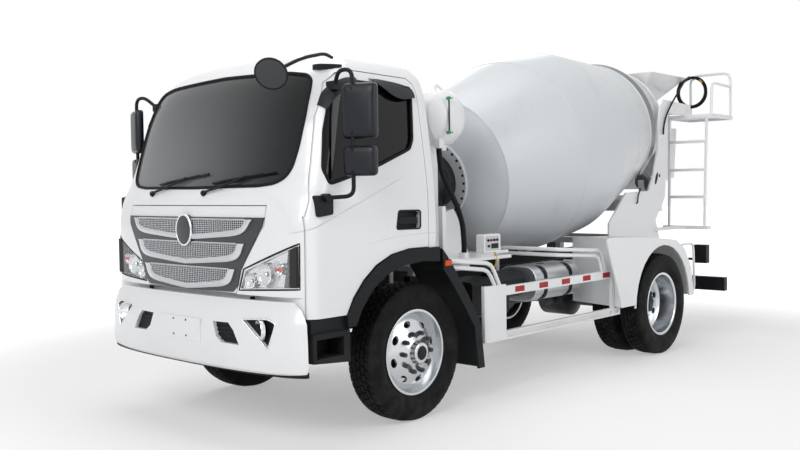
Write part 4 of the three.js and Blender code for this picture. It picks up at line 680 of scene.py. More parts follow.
def door_outline(inset):
    return ([(-1050 + inset, 820 + inset)]
            + [(y - (0 if i < 1 else inset * 0.6), z + inset) for i, (y, z) in enumerate(UNDERSIDE)]
            + [(30 - inset, 1200 + inset), (30 - inset, 2250), (10 - inset, 2310 - inset),
               (-40 - inset, 2350 - inset), (-560, 2362 - inset), (-690 + inset, 2335 - inset),
               (-770 + inset, 2270), (-866 + inset, 2050), (-944 + inset, 1760), (-1050 + inset, 1430)])


def window_outline(inset):
    return [(-880 + inset, 1632 + inset), (-800, 1648 + inset), (-417, 1752 + inset), (-110, 1862 + inset),
            (-70 - inset, 1930), (-22 - inset, 2285 - inset), (-600, 2292 - inset),
            (-700 + inset, 2258 - inset), (-775 + inset, 2175), (-848 + inset, 1967), (-905 + inset, 1720)]


def mirrored(half):
    return list(half) + [(-x, z) for x, z in reversed(half) if x > 0]


def screen_outline(inset):
    return mirrored([(0, 1628 + inset), (640, 1634 + inset), (770, 1648 + inset), (833 - inset, 1684 + inset),
                     (862 - inset, 1740), (874 - inset, 1870), (872 - inset, 2050), (852 - inset, 2228),
                     (832 - inset, 2290 - inset), (790, 2322 - inset), (640, 2345 - inset),
                     (0, 2366 - inset)])


def flap_outline(inset):
    return mirrored([(0, 955 + inset), (500 - inset, 955 + inset), (545 - inset, 1105), (755 - inset, 1390),
                     (755 - inset, 1512 - inset), (0, 1512 - inset)])


def lamp_outline(inset):
    return [(518 + inset, 978 + inset), (1000 - inset, 1002 + inset), (1004 - inset, 1284 - inset),
            (566 + inset, 1116 - inset)]


def filled(points, step=25):
    """Closed outline in two numbers, with points added until none are further apart than about the step."""
    row = []
    for (a0, b0), (a1, b1) in zip(points, points[1:] + points[:1]):
        count = max(1, int(math.hypot(a1 - a0, b1 - b0) / step))
        row += [(a0 + (a1 - a0) * i / count, b0 + (b1 - b0) * i / count) for i in range(count)]
    return row


def on_front(points, out=0):
    """Closed outline laid on the cab's front."""
    return [(x, skin_y(x, z, out), z) for x, z in filled(points)]


def on_side(points, out=0):
    """Closed outline laid on the cab's side."""
    return [(skin_x(y, z, out), y, z) for y, z in filled(points)]


# ---- the pieces -------------------------------------------------------------------------------------------


def smooth_route(points, per=8):
    """Points on one smooth curve through the given ones."""
    points = [Vector(p) for p in points]
    ends = [points[0] * 2 - points[1]] + points + [points[-1] * 2 - points[-2]]
    route = []
    for a, b, c, d in zip(ends, ends[1:], ends[2:], ends[3:]):
        for i in range(per):
            t = i / per
            route.append(0.5 * (2 * b + (c - a) * t + (2 * a - 5 * b + 4 * c - d) * t * t
                                + (3 * b - a - 3 * c + d) * t ** 3))
    return route + [points[-1]]


WATER_HOSE = ((735, 560, 1899.7), (735, 560, 1865), (742, 578, 1730), (762, 632, 1600),
              (783, 700, 1470), (797, 748, 1330), (800, 764, 1170), (800, 764, 1110.3))
WATER_HOSE_R = 22
WASH_HOSE = ((708, 4251, 2130), (708, 4251, 2165), (708, 4272, 2245), (708, 4320, 2330), (708, 4395, 2415),
             (706, 4490, 2500), (698, 4600, 2580), (682, 4720, 2655), (660, 4840, 2720), (632, 4960, 2768),
             (602, 5070, 2798), (570, 5160, 2812), (541, 5214, 2817))
WASH_HOSE_R = 9
COIL_CENTRE = (560, 5260, 2650)
COIL_R = 165


def coil_route():
    """Turns of the wash hose, lying two by two round the hook."""
    pitch = WASH_HOSE_R + 0.35
    lanes = [(pitch, -pitch), (pitch, pitch), (-pitch, pitch), (-pitch, -pitch)]
    route = []
    steps = 36
    for turn, (out, along) in enumerate(lanes):
        after = lanes[min(turn + 1, len(lanes) - 1)]
        last = turn == len(lanes) - 1
        for i in range(5 if turn == 0 else 0, steps - (4 if last else 0)):
            share = i / steps
            change = min(max((share - 0.62) / 0.38, 0), 1)
            change = change * change * (3 - 2 * change)
            r = COIL_R + out + (after[0] - out) * change
            y = along + (after[1] - along) * change
            angle = 2 * math.pi * share
            route.append(Vector((COIL_CENTRE[0] - r * math.sin(angle), COIL_CENTRE[1] + y,
                                 COIL_CENTRE[2] + r * math.cos(angle))))
    return route


def in_frame(route):
    return [mm(*p) for p in route]


class MIXER_OT_hoses(bpy.types.Operator):
    """Ribbed water hose, and the wash-down hose with its coil on the platform's rail"""
    bl_idname = "mixer.hoses"
    bl_label = "Hoses"

    def execute(self, context):
        route = smooth_route(WATER_HOSE, 16)
        piece = Piece("water_hose_ribbed", "hose")
        rings = []
        for i, here in enumerate(route):
            way = (route[min(i + 1, len(route) - 1)] - route[max(i - 1, 0)]).normalized()
            across = way.cross(Vector((1, 0, 0))).normalized()
            other = way.cross(across)
            r = WATER_HOSE_R - (2.6 if i % 2 else 0)
            rings.append([tuple(here + across * r * math.cos(a) + other * r * math.sin(a))
                          for a in angles(20)])
        hose = piece.rings(rings).make("truck", "water_hose", "hose_rubber", angle=80)
        path = in_frame(route)

        turns = coil_route()
        route = smooth_route(list(WASH_HOSE) + [tuple(p) for p in turns[:2]], 5)[:-1] + turns[1:]
        hose = Piece("wash_hose_run", "hose").tube(route, WASH_HOSE_R, sides=14)
        hose = hose.make("truck", ("wash_hose", "hose_coil"), "hose_rubber", angle=60)
        end = route[-1]
        way = (route[-1] - route[-2]).normalized()
        nozzle = Piece("wash_nozzle", "brass").turned(
            [(-6, 0), (-6, 11), (14, 11), (16, 8), (40, 6), (42, 4.5), (42, 0)], end, way, 24)
        nozzle = nozzle.make("truck", slot="hose_rubber")
        path = in_frame(route)
        return {"FINISHED"}


CAMERA_PLACE = (5091.6, -4654.4, 1596.8)
CAMERA_YAW, CAMERA_PITCH, CAMERA_ROLL = 42.40, 2.25, -0.8186
CAMERA_LENS = 40.89


def lamp(name, place, target, size, power):
    data = bpy.data.lights.new(name, "AREA")
    data.shape = "SQUARE"
    data.size = size
    data.energy = power
    obj = bpy.data.objects.new(name, data)
    obj.location = mm(*place)
    obj.rotation_euler = (mm(*target) - obj.location).to_track_quat("-Z", "Y").to_euler()
    bpy.context.scene.collection.objects.link(obj)
    return obj


def seen_directly(tree):
    """1 for a ray from the camera, off a shiny surface or through glass, and 0 for the rest."""
    path = tree.nodes.new("ShaderNodeLightPath")
    rays = [Value(tree, path.outputs[f"Is {kind} Ray"]) for kind in ("Camera", "Glossy", "Transmission")]
    return (rays[0] + rays[1] + rays[2]).step(0.4, 0.6)


class MIXER_OT_stage(bpy.types.Operator):
    """Camera, soft lamps, white surroundings and a pale floor"""
    bl_idname = "mixer.stage"
    bl_label = "Stage"

    def execute(self, context):
        scene = context.scene
        camera = bpy.data.objects.new("camera", bpy.data.cameras.new("camera"))
        camera.data.lens = CAMERA_LENS
        camera.data.sensor_width = 36
        camera.data.clip_end = 200
        yaw, pitch, roll = (math.radians(a) for a in (CAMERA_YAW, CAMERA_PITCH, CAMERA_ROLL))
        ahead = Vector((-math.sin(yaw) * math.cos(pitch), math.cos(yaw) * math.cos(pitch), -math.sin(pitch)))
        right = Vector((math.cos(yaw), math.sin(yaw), 0))
        up = right.cross(ahead)
        tilted = right * math.cos(roll) + up * math.sin(roll)
        upward = up * math.cos(roll) - right * math.sin(roll)
        turn = [[tilted[i], upward[i], -ahead[i]] for i in range(3)]
        camera.rotation_euler = Matrix(turn).to_euler()
        camera.location = mm(*CAMERA_PLACE)
        scene.collection.objects.link(camera)
        scene.camera = camera
        scene.view_settings.view_transform = "Standard"

        power = scene.mixer_sizes.key_light
        lamp("key", (3500, -9000, 6500), (0, 300, 1400), 6.0, power)
        lamp("side", (9500, 2500, 5200), (0, 1800, 1500), 6.0, power * 0.5)
        lamp("top", (-1500, 1500, 9500), (0, 1500, 1000), 7.0, power * 0.55)
        lamp("rear", (-7000, 9000, 5000), (0, 2500, 1500), 6.0, power * 0.3)

        world = bpy.data.worlds.new("surroundings")
        scene.world = world
        world.use_nodes = True
        tree = world.node_tree
        tree.nodes.clear()
        direct = seen_directly(tree)
        background = tree.nodes.new("ShaderNodeBackground")
        background.inputs["Color"].default_value = (1, 1, 1, 1)
        tree.links.new((direct * 0.78 + 0.22).socket, background.inputs["Strength"])
        tree.links.new(background.outputs[0], tree.nodes.new("ShaderNodeOutputWorld").inputs[0])

        finish = Finish("floor_white", 0.9)
        cloud = finish.noise(0.8, 2)
        finish.set("Base Color", finish.blend(cloud, tint("f2f2f2"), tint("f7f7f7")))
        glow = finish.node("ShaderNodeEmission", inputs={"Color": (1, 1, 1, 1), "Strength": 1.25})
        across, along = finish.axis("X"), finish.axis("Y")
        away = (across * across + along * along).step(12, 42)
        mix = finish.node("ShaderNodeMixShader", inputs={0: seen_directly(finish.tree) * (0.3 + away * 0.7)})
        finish.tree.links.new(finish.shader.outputs[0], mix.inputs[1])
        finish.tree.links.new(glow.outputs[0], mix.inputs[2])
        output = next(n for n in finish.tree.nodes if n.bl_idname == "ShaderNodeOutputMaterial")
        finish.tree.links.new(mix.outputs[0], output.inputs["Surface"])
        reach = 60
        floor = bpy.data.meshes.new("floor")
        floor.from_pydata([(-reach, -reach, 0), (reach, -reach, 0), (reach, reach, 0), (-reach, reach, 0)],
                          [], [(0, 1, 2, 3)])
        floor.materials.append(finish.material)
        obj = bpy.data.objects.new("floor", floor)
        scene.collection.objects.link(obj)
        return {"FINISHED"}


# Upper and lower edge of the two rain visors over a door's window, as (y, z).
RAIN_VISORS = (
    (((-838, 2125), (-792, 2212), (-722, 2270), (-640, 2303), (-545, 2316)),
     ((-818, 2095), (-757, 2166), (-690, 2214), (-622, 2246), (-545, 2268))),
    (((-420, 2316), (-330, 2318), (-180, 2308), (-80, 2294), (-14, 2274)),
     ((-400, 2300), (-318, 2258), (-235, 2214), (-140, 2196), (-20, 2212))),
)


class MIXER_OT_cab(bpy.types.Operator):
    """Cab shell, doors, glass and the front flap's panel, cut from one smooth skin"""
    bl_idname = "mixer.cab"
    bl_label = "Cab Body"

    def execute(self, context):
        def prism(outline, axis, low, high, side=1):
            return Piece("cut", side=side).prism(outline, axis, low, high).mesh()

        def wall(outer, inner):
            return shaped(cab_solid(outer), ("DIFFERENCE", cab_solid(inner)))

        inside = shaped(cab_solid(45, 90, 865), ("DIFFERENCE", arch_solid(45)),
                        ("DIFFERENCE", Piece("toe").box(-1100, 1100, -1400, -1006, 700, 1005).mesh()))
        steps = [("DIFFERENCE", arch_solid()), ("DIFFERENCE", inside),
                 ("DIFFERENCE", Piece("chin").box(-1200, 1200, -1400, -1056, 700, 955).mesh()),
                 ("DIFFERENCE", prism(screen_outline(0), "y", -1300, -650)),
                 ("DIFFERENCE", Piece("rear").box(-430, 430, 60, 220, 1740, 2180).mesh()),
                 ("DIFFERENCE", shaped(wall(-5, 34), (
                     "INTERSECT", prism(flap_outline(0), "y", -1300, -900))))]
        post = [(600, -1250), (972, -1250), (972, -1035), (925, -960), (600, -960)]
        for side in (1, -1):
            zone = shaped(wall(-5, 50), ("INTERSECT", prism(door_outline(0), "x", 500, 1140, side)),
                          ("DIFFERENCE", prism(post, "z", 790, 1440, side)))
            steps.append(("DIFFERENCE", zone))
            opened = shaped(prism(door_outline(0), "x", 840, 1140, side), ("INTERSECT", Piece("above").box(
                -1200, 1200, -1168, 150, 1440, 2525).mesh()))
            steps.append(("DIFFERENCE", opened))
            steps.append(("DIFFERENCE", Piece("hinge_room", side=side).box(
                970, 1200, -1052, -938, 700, 1442).mesh()))
            steps.append(("DIFFERENCE", shaped(wall(-5, 40), (
                "INTERSECT", prism(lamp_outline(0), "y", -1300, -1056, side)))))
        shell = shaped(cab_solid(), *steps)
        show(shell, "cab_body", ["cab white"], "cab", "cab_shell", bevel=1.6, angle=30)
        tilt = Piece("tilt_lugs", "steel")
        for side in (1, -1):
            tilt.prism([(-1020, 830), (-940, 830), (-948, 640), (-965, 612), (-995, 612), (-1012, 640)], "x",
                       295 * side, 325 * side)
        tilt.make("cab", slot="white_paint", bevel=2)

        screen = shaped(wall(4, 12), ("INTERSECT", prism(screen_outline(0.5), "y", -1300, -650)))
        show(screen, "windscreen_pane", ["screen"], "cab", "windscreen")
        rear = Piece("rear_pane", "door glass").prism(
            flat_bent([(-429, 1741), (429, 1741), (429, 2179), (-429, 2179)], 50), "y", 124, 132)
        rear.make("cab", "rear_window", "cab_glass")
        seal = Piece("cab_seals", "rubber")
        seal.tube(on_front(flat_bent(screen_outline(-3), 40, 4), 1), 12, sides=8, closed=True, flat=0.7)
        rear_rim = flat_bent([(-433, 1737), (433, 1737), (433, 2183), (-433, 2183)], 50)
        rim = [(x, CAB_REAR - 3, z) for x, z in rear_rim]
        seal.tube(rim, 10, sides=8, closed=True).make("cab", slot="hose_rubber", angle=60)

        for word, side in SIDES.items():
            body = "door_" + word
            foot = [(600, -1250), (978, -1250), (978, -1035), (931, -954), (600, -954)]
            recess = flat_bent([(-292, 1338), (-60, 1335), (-57, 1452), (-270, 1455)], 20)
            panel = shaped(wall(0, 44), ("INTERSECT", prism(door_outline(6), "x", 500, 1140, side)),
                           ("DIFFERENCE", prism(flat_bent(window_outline(0), 26, 4), "x", 500, 1140, side)),
                           ("DIFFERENCE", prism(foot, "z", 790, 1446, side)),
                           ("DIFFERENCE", prism(recess, "x", 1045, 1140, side)))
            show(panel, "door_panel_" + word, ["cab white"], body, "door_" + word, bevel=1.6,
                 angle=30)
            opening = flat_bent(window_outline(-4), 26, 4)
            pane = shaped(wall(14, 20), ("INTERSECT", prism(opening, "x", 500, 1140, side)))
            show(pane, "door_pane_" + word, ["door glass"], body, "door_glass_" + word)
            rubbers = Piece("door_seal_" + word, "rubber", side=side)
            rubbers.tube(on_side(flat_bent(window_outline(3), 26, 4), -3), 13, sides=8, closed=True, flat=0.8)
            rubbers.make(body, slot="hose_rubber", angle=60)
            handle = Piece("door_handle_" + word, "plastic", "flare", side=side)
            cup = flat_bent([(-294, 1336), (-58, 1333), (-55, 1454), (-272, 1457)], 20)
            handle.prism(cup, "x", 1034, 1046)
            edge = [(skin_x(y, z, 0), y, z) for y, z in cup]
            handle.tube(edge, 6, sides=8, closed=True)
            handle.prism(flat_bent([(-275, 1368), (-80, 1366), (-82, 1412), (-262, 1414)], 14),
                         "x", 1058, 1076, 1)
            handle.rod((1074, -90, 1436), (1082, -90, 1436), 9, 16, 1)
            handle.make(body, slot="black_plastic", bevel=1.5)
            visor = Piece("rain_visors_" + word, "mirror shell", side=side)
            for upper, lower in RAIN_VISORS:
                rings = []
                for (ya, za), (yb, zb) in zip(smooth_row(upper), smooth_row(lower)):
                    ring = []
                    for share in (0, 0.5, 1):
                        y, z = ya + (yb - ya) * share, za + (zb - za) * share
                        ring.append((skin_x(y, z, 5 + 22 * math.sin(share * 1.7)), y, z))
                    ring += [(x - 4, y, z) for x, y, z in reversed(ring)]
                    rings.append(ring)
                visor.rings(rings)
            visor.make(body, slot="black_plastic", bevel=1)

        flap = shaped(wall(0, 28), ("INTERSECT", prism(flap_outline(6), "y", -1300, -900)))
        show(flap, "flap_panel", ["cab white"], "front_flap", "front_flap", bevel=1.6,
             angle=30)
        return {"FINISHED"}


def new_tree(name, **inputs):
    """Geometry Nodes tree with a mesh, the named inputs and a finish going in, and its input node."""
    tree = bpy.data.node_groups.new(name, "GeometryNodeTree")
    face = tree.interface
    face.new_socket("Geometry", in_out="INPUT", socket_type="NodeSocketGeometry")
    face.new_socket("Geometry", in_out="OUTPUT", socket_type="NodeSocketGeometry")
    for word, kind in inputs.items():
        face.new_socket(word, in_out="INPUT", socket_type="NodeSocket" + kind)
    face.new_socket("Finish", in_out="INPUT", socket_type="NodeSocketMaterial")
    return tree, add_node(tree, "NodeGroupInput")


def end_tree(tree, given, last):
    """Makes the last node's shapes real, gives them their finish and sends them out."""
    real = add_node(tree, "GeometryNodeRealizeInstances", inputs={0: last.outputs[0]})
    finish = add_node(tree, "GeometryNodeSetMaterial", inputs={
        "Geometry": real.outputs[0], "Material": given.outputs["Finish"]})
    add_node(tree, "NodeGroupOutput", inputs={0: finish.outputs[0]})
    return tree


def studs_tree(name, sides):
    """Geometry Nodes: a bolt head on the middle of every face of a mesh, standing along its normal."""
    tree, given = new_tree(name, Radius="Float", Height="Float")
    radius = given.outputs["Radius"]
    narrower = add_node(tree, "ShaderNodeMath", {"operation": "MULTIPLY"}, {0: radius, 1: 0.86})
    head = add_node(tree, "GeometryNodeMeshCone", inputs={
        "Vertices": sides, "Radius Bottom": radius, "Radius Top": narrower.outputs[0],
        "Depth": given.outputs["Height"]})
    keep = add_node(tree, "GeometryNodeCaptureAttribute", {"domain": "FACE"},
                    {"Geometry": given.outputs["Geometry"]})
    keep.capture_items.new("VECTOR", "Way")
    feed(tree, keep.inputs["Way"], add_node(tree, "GeometryNodeInputNormal").outputs[0])
    points = add_node(tree, "GeometryNodeMeshToPoints", {"mode": "FACES"}, {"Mesh": keep.outputs["Geometry"]})
    turn = add_node(tree, "FunctionNodeAlignRotationToVector", {"axis": "Z"}, {"Vector": keep.outputs["Way"]})
    instances = add_node(tree, "GeometryNodeInstanceOnPoints", inputs={
        "Points": points.outputs[0], "Instance": head.outputs["Mesh"], "Rotation": turn.outputs[0]})
    return end_tree(tree, given, instances)


def studs(name, places, body, radius, height, look, sides=6):
    """Bolt heads or nuts at (place, direction) pairs, in millimetres, grown on a plate of tiny triangles."""
    bm = bmesh.new()
    for place, way in places:
        place, way = Vector(place), Vector(way).normalized()
        across = way.orthogonal().normalized() * 0.02
        other = way.cross(across)
        corners = [bm.verts.new(mm(*(place + across * math.cos(a) + other * math.sin(a))))
                   for a in (0, 2.094, 4.189)]
        bm.faces.new(corners)
    kind = f"studs_{sides}"
    tree = bpy.data.node_groups.get(kind) or studs_tree(kind, sides)
    heads = grown(bm, name, tree, body, Radius=radius / 1000, Height=height / 1000, Finish=FINISHES[look])
    return heads


def wire_tree():
    """Geometry Nodes: a wire of round bar along every edge of a mesh."""
    tree, given = new_tree("grille_wires", Wire="Float")
    lines = add_node(tree, "GeometryNodeMeshToCurve", inputs={0: given.outputs["Geometry"]})
    ring = add_node(tree, "GeometryNodeCurvePrimitiveCircle", inputs={
        "Resolution": 4, "Radius": given.outputs["Wire"]})
    bars = add_node(tree, "GeometryNodeCurveToMesh", inputs={
        "Curve": lines.outputs[0], "Profile Curve": ring.outputs[0], "Fill Caps": True})
    return end_tree(tree, given, bars)


# Each grille bar: half widths at its top, half width at its bend, and its heights: top, bend, middle.
GRILLE_BARS = (
    {"top": (664, 606, 1424), "bend": (566, 548, 1333, 1367), "low": (1287, 1320)},
    {"top": (598, 536, 1274), "bend": (518, 476, 1173, 1206), "low": (1127, 1160)},
    {"top": (508, 446, 1112), "bend": (436, 388, 1014, 1044), "low": (965, 1000)},
)


def bar_outline(bar):
    """Right half of a bar's outer and inner lower edges, as (x, z) from the middle out."""
    top, bend, low = bar["top"], bar["bend"], bar["low"]
    outer = [(0, low[0]), (bend[0] * 0.5, low[0] + (bend[2] - low[0]) * 0.36), (bend[0], bend[2]),
             (top[0], top[2])]
    inner = [(0, low[1]), (bend[1] * 0.5, low[1] + (bend[3] - low[1]) * 0.36), (bend[1], bend[3]),
             (top[1], top[2])]
    return outer, inner


class MIXER_OT_grille(bpy.types.Operator):
    """Dark grille with three silver bars, their wire mesh and a bare round badge"""
    bl_idname = "mixer.grille"
    bl_label = "Grille"

    def execute(self, context):
        frame_edge = mirrored([(0, 958), (470, 968), (520, 1010), (548, 1105), (742, 1385), (752, 1436),
                               (0, 1436)])
        plate = shaped(shaped(cab_solid(-9), ("DIFFERENCE", cab_solid(1))), (
            "INTERSECT", Piece("edge").prism(frame_edge, "y", -1300, -1000).mesh()))
        show(plate, "grille_frame", ["charcoal"], "front_flap", bevel=2, angle=30)
        bars = Piece("grille_bars", "silver", "charcoal")
        wires = bmesh.new()
        pitch = context.scene.mixer_sizes.mesh_pitch * 1000
        for bar in GRILLE_BARS:
            outer, inner = bar_outline(bar)
            rows = list(zip(smooth_row(outer), smooth_row(inner)))
            full = [((-ax, az), (-bx, bz)) for (ax, az), (bx, bz) in reversed(rows[1:])] + rows
            rings = []
            for (ax, az), (bx, bz) in full:
                cx, cz = (ax + bx) / 2, (az + bz) / 2
                rings.append([(ax, skin_y(ax, az, 8), az), (ax, skin_y(ax, az, 20), az),
                              (cx, skin_y(cx, cz, 27), cz), (bx, skin_y(bx, bz, 20), bz),
                              (bx, skin_y(bx, bz, 8), bz)])
            bars.rings(rings)
            slot_top = bar["top"][2]
            edge = [b for _, b in full]
            bars.tube([(x, skin_y(x, slot_top, 12), slot_top)
                       for x in range(-bar["top"][1], bar["top"][1] + 1, 24)],
                      4, sides=8)
            for i in range(int((slot_top - bar["low"][1]) / pitch)):
                z = slot_top - (i + 0.5) * pitch
                reach = reach_at(edge, z)
                if reach is None:
                    continue
                for x0, x1 in reach:
                    steps = max(2, int((x1 - x0) / 40))
                    across = [x0 + (x1 - x0) * k / steps for k in range(steps + 1)]
                    add_line(wires, [(x, skin_y(x, z, 12), z) for x in across])
            x = -bar["top"][1]
            while x < bar["top"][1]:
                low = floor_at(edge, x)
                if low is not None and slot_top - low > pitch:
                    steps = max(1, int((slot_top - low) / 50))
                    levels = [low + (slot_top - low) * k / steps for k in range(steps + 1)]
                    add_line(wires, [(x, skin_y(x, z, 14), z) for z in levels])
                x += pitch * 1.5
        for z, half in ((1302, 500), (1142, 440)):
            bars.tube([(x, skin_y(x, z + abs(x) * 0.075, 10), z + abs(x) * 0.075 - 12)
                       for x in range(-half, half + 1, 40)], 7, sides=8, look=1)
        bars.make("front_flap", slot="tank_metal", bevel=1.2)
        mesh = grown(wires, "grille_mesh", wire_tree(), "front_flap", Wire=0.0027, Finish=FINISHES["silver"])
        badge = Piece("badge", "chrome", "charcoal")
        ring = [(82 * math.cos(a), 1350 + 100 * math.sin(a)) for a in angles(48)]
        badge.tube([(x, -1193, z) for x, z in ring], 8, sides=10, closed=True)
        badge.prism(ring, "y", -1198, -1160, 1)
        dome = [[(x * s, -1198 - d, 1350 + (z - 1350) * s) for x, z in ring]
                for s, d in ((1, 0), (0.8, 3), (0.5, 5), (0.1, 6))]
        badge.rings(dome, 1)
        badge.make("front_flap", slot="black_plastic", bevel=1)
        return {"FINISHED"}


def smooth_row(points):
    """Points in two numbers on a smooth curve through the given ones."""
    return [tuple(p)[:2] for p in smooth_route([(a, b, 0) for a, b in points], 6)]


def add_line(bm, points):
    """Row of edges through the points."""
    verts = [bm.verts.new(mm(*p)) for p in points]
    for a, b in zip(verts, verts[1:]):
        bm.edges.new((a, b))


def reach_at(edge, z):
    """Stretches of x above a rising and falling edge at a height."""
    hits = []
    for (x0, z0), (x1, z1) in zip(edge, edge[1:]):
        if (z0 - z) * (z1 - z) < 0:
            hits.append(x0 + (x1 - x0) * (z - z0) / (z1 - z0))
    hits.sort()
    return [(a, b) for a, b in zip(hits[::2], hits[1::2])] or None


def floor_at(edge, x):
    """Height of the edge at a place across, where it reaches that far."""
    for (x0, z0), (x1, z1) in zip(edge, edge[1:]):
        if x0 <= x <= x1 and x1 > x0:
            return z0 + (z1 - z0) * (x - x0) / (x1 - x0)
    return None


BUMPER_REAR = -1078


class MIXER_OT_cab_front(bpy.types.Operator):
    """Headlamps, bumper with its lamps and plate, and the wipers"""
    bl_idname = "mixer.cab_front"
    bl_label = "Lamps, Bumper and Wipers"

    def execute(self, context):
        for word, side in SIDES.items():
            self.headlamp(word, side)
        self.bumper()
        wipers = Piece("wipers", "plastic")
        for pivot in (137, -481):
            base = (pivot, skin_y(pivot, 1588, 4), 1588)
            wipers.turned([(-14, 0), (-14, 22), (14, 19), (22, 12), (22, 0)], base, (0, -1, 0.3), 24)
            blade = []
            for i in range(13):
                x, z = pivot + 70 + 46 * i, 1652 + 5.2 * i
                blade.append((x, skin_y(x, z, 12), z))
            wipers.tube(blade, 8, sides=6)
            wipers.tube([(x, y - 9, z + 3) for x, y, z in blade[2:11]], 6, sides=6)
            knee = (pivot + 150, skin_y(pivot + 150, 1622, 26), 1622)
            wipers.tube([(base[0], base[1] - 16, base[2] + 6), knee, Vector(blade[7]) + Vector((0, -12, 4))],
                        8, 40, 8)
        wipers.make("cab", slot="black_plastic", angle=50)
        return {"FINISHED"}

    def headlamp(self, word, side):
        node = "headlamp_" + word
        body = body_of(node)
        bowl = Piece("lamp_bowl_" + word, "charcoal", "chrome", "dark", side=side)
        back = [(x, skin_y(x, z, -34), z) for x, z in lamp_outline(3)]
        rim = [(x, skin_y(x, z, -3), z) for x, z in lamp_outline(3)]
        inner = [(x, skin_y(x, z, -6), z) for x, z in lamp_outline(14)]
        deep = [(x, skin_y(x, z, -30), z) for x, z in lamp_outline(16)]
        bowl.rings([back, rim, inner, deep], 1)
        for x, z, r in ((734, 1086, 66), (613, 1041, 46), (850, 1120, 34)):
            depth = skin_y(x, z, -29)
            steps = [(0, r * 0.22), (1, r * 0.55), (5, r * 0.8), (14, r * 0.97), (20, r), (20, r * 1.06),
                     (0, r * 1.06)]
            bowl.turned([(-u, q) for u, q in steps], (x, depth - 2, z), (0, 1, 0), 40, 1)
            if r > 40:
                bowl.turned([(0, 0), (-6, r * 0.26), (-14, r * 0.16), (-17, 0)], (x, depth - 2, z), (0, 1, 0),
                            24, 1)
        # near-black block at the lamp's outer end: painted shade deep inside the lamp
        bowl.prism([(880, 1010), (992, 1016), (992, 1262), (925, 1240), (905, 1120)], "y", -1090, -1060, 2)
        bowl.make(body, node, "lamp_lens", bevel=1, angle=50)
        bulb = Piece("lamp_bulb_" + word, "amber", side=side)
        bulb.turned([(10, 0), (10, 15), (-8, 15), (-20, 9), (-23, 0)], (850, skin_y(850, 1120, -22), 1120),
                    (0, 1, 0), 24)
        bulb.make(body, slot="lamp_lens")
        cover = Piece("lamp_cover_" + word, "lens", side=side)
        low0, low1, high1, high0 = lamp_outline(5)
        rings = []
        for i in range(15):
            t = i / 14
            low = (low0[0] + (low1[0] - low0[0]) * t, low0[1] + (low1[1] - low0[1]) * t)
            high = (high0[0] + (high1[0] - high0[0]) * t, high0[1] + (high1[1] - high0[1]) * t)
            ring = [(low[0] + (high[0] - low[0]) * k / 5, low[1] + (high[1] - low[1]) * k / 5)
                    for k in range(6)]
            rings.append([(x, skin_y(x, z, -1), z) for x, z in ring]
                         + [(x, skin_y(x, z, -4), z) for x, z in reversed(ring)])
        cover.rings(rings).make(body, slot="lamp_lens")
        edge = Piece("lamp_edge_" + word, "rubber", side=side)
        edge.tube(on_front(lamp_outline(2), -2), 5, sides=6, closed=True).make(body, slot="hose_rubber")

    def bumper(self):
        shape = ((478, 1050, -1215), (505, 1078, -1238), (560, 1088, -1240), (680, 1088, -1236),
                 (800, 1088, -1228), (880, 1084, -1195), (925, 1080, -1165))

        def solid(inset):
            piece = Piece("bumper_solid")
            rings = []
            for z, half, front in shape:
                z = min(max(z, 478 - inset * 2), 925 + inset * 2)
                points = plan_ring(half - inset, front + inset, BUMPER_REAR + 600, 210, z, 12)
                rings.append(points)
            rings[0] = [(x, y, 478 - max(inset, 0)) for x, y, _ in rings[0]]
            rings[-1] = [(x, y, 925 + max(inset, 0)) for x, y, _ in rings[-1]]
            piece.rings(rings)
            return piece.mesh()

        def cut(outline, low, high, side=1):
            return Piece("cut", side=side).prism(outline, "y", low, high).mesh()

        half_space = Piece("ahead").box(-1300, 1300, -1400, BUMPER_REAR, 300, 1000).mesh()
        intake = [(336, 779), (487, 782), (537, 738), (592, 651), (429, 654), (375, 688)]
        fog = flat_bent([(615, 812), (823, 826), (885, 800), (832, 640)], 14, 3)
        steps = [("DIFFERENCE", solid(40)), ("INTERSECT", half_space)]
        for side in (1, -1):
            for outline in (intake, fog):
                steps.append(("DIFFERENCE", shaped(cut(outline, -1300, -1100, side), (
                    "DIFFERENCE", solid(30)))))
        body = body_of("front_bumper")
        skin = shaped(solid(0), *steps)
        show(skin, "bumper_skin", ["cab white"], body, "front_bumper", bevel=2, angle=28)
        extras = Piece("bumper_fittings", "plastic", "chrome", "plate", "dark")
        for side in (1, -1):
            def front(x, z, out=0):
                half, nose = 1088, -1236 + max(0, z - 680) * 0.06
                aside = min(abs(x) / half, 0.999)
                return nose + 210 - 210 * (1 - aside ** BOW_POWER) ** (1 / BOW_POWER) - out
            extras.side = side
            dark = [(x, front(x, z, -27), z) for x, z in intake]
            extras.rings([dark, [(x, y + 4, z) for x, y, z in dark]], 0)
            for k in range(4):
                z = 672 + 26 * k
                extras.tube([(x, front(x, z, -22), z) for x in (372 + k * 2 - 8 * k, 440, 500, 566 - 17 * k)],
                            4, sides=6)
            extras.rings([[(x, front(x, z, -28), z) for x, z in fog],
                          [(x, front(x, z, -24), z) for x, z in fog]], 0)
            extras.turned([(0, 0), (-3, 30), (-12, 48), (-22, 56), (-26, 62), (-22, 66), (0, 66)],
                          (756, front(756, 752, -27), 752), (0.35, 0.94, 0), 40, 1)
            extras.tube([(x, front(x, z, 0.5), z) for x, z in fog], 5, sides=8, look=1, closed=True)
            extras.box(562, 578, -1100, -1072, 700, 938, 0)
        extras.side = 1
        plate = flat_bent([(-229, 635), (221, 635), (221, 785), (-229, 785)], 10)
        extras.rings([[(x, -1236 - out, z) for x, z in plate] for out in (-4, 5)], 2)
        for x in (-74, 66):
            for z in (663, 765):
                extras.turned([(0, 0), (0, 7), (3, 6), (4, 0)], (x, -1240.5, z), (0, -1, 0), 16, 0)
        lip = []
        for i in range(-24, 25):
            x = 1062 * math.sin(i / 24 * math.pi / 2 * 0.97)
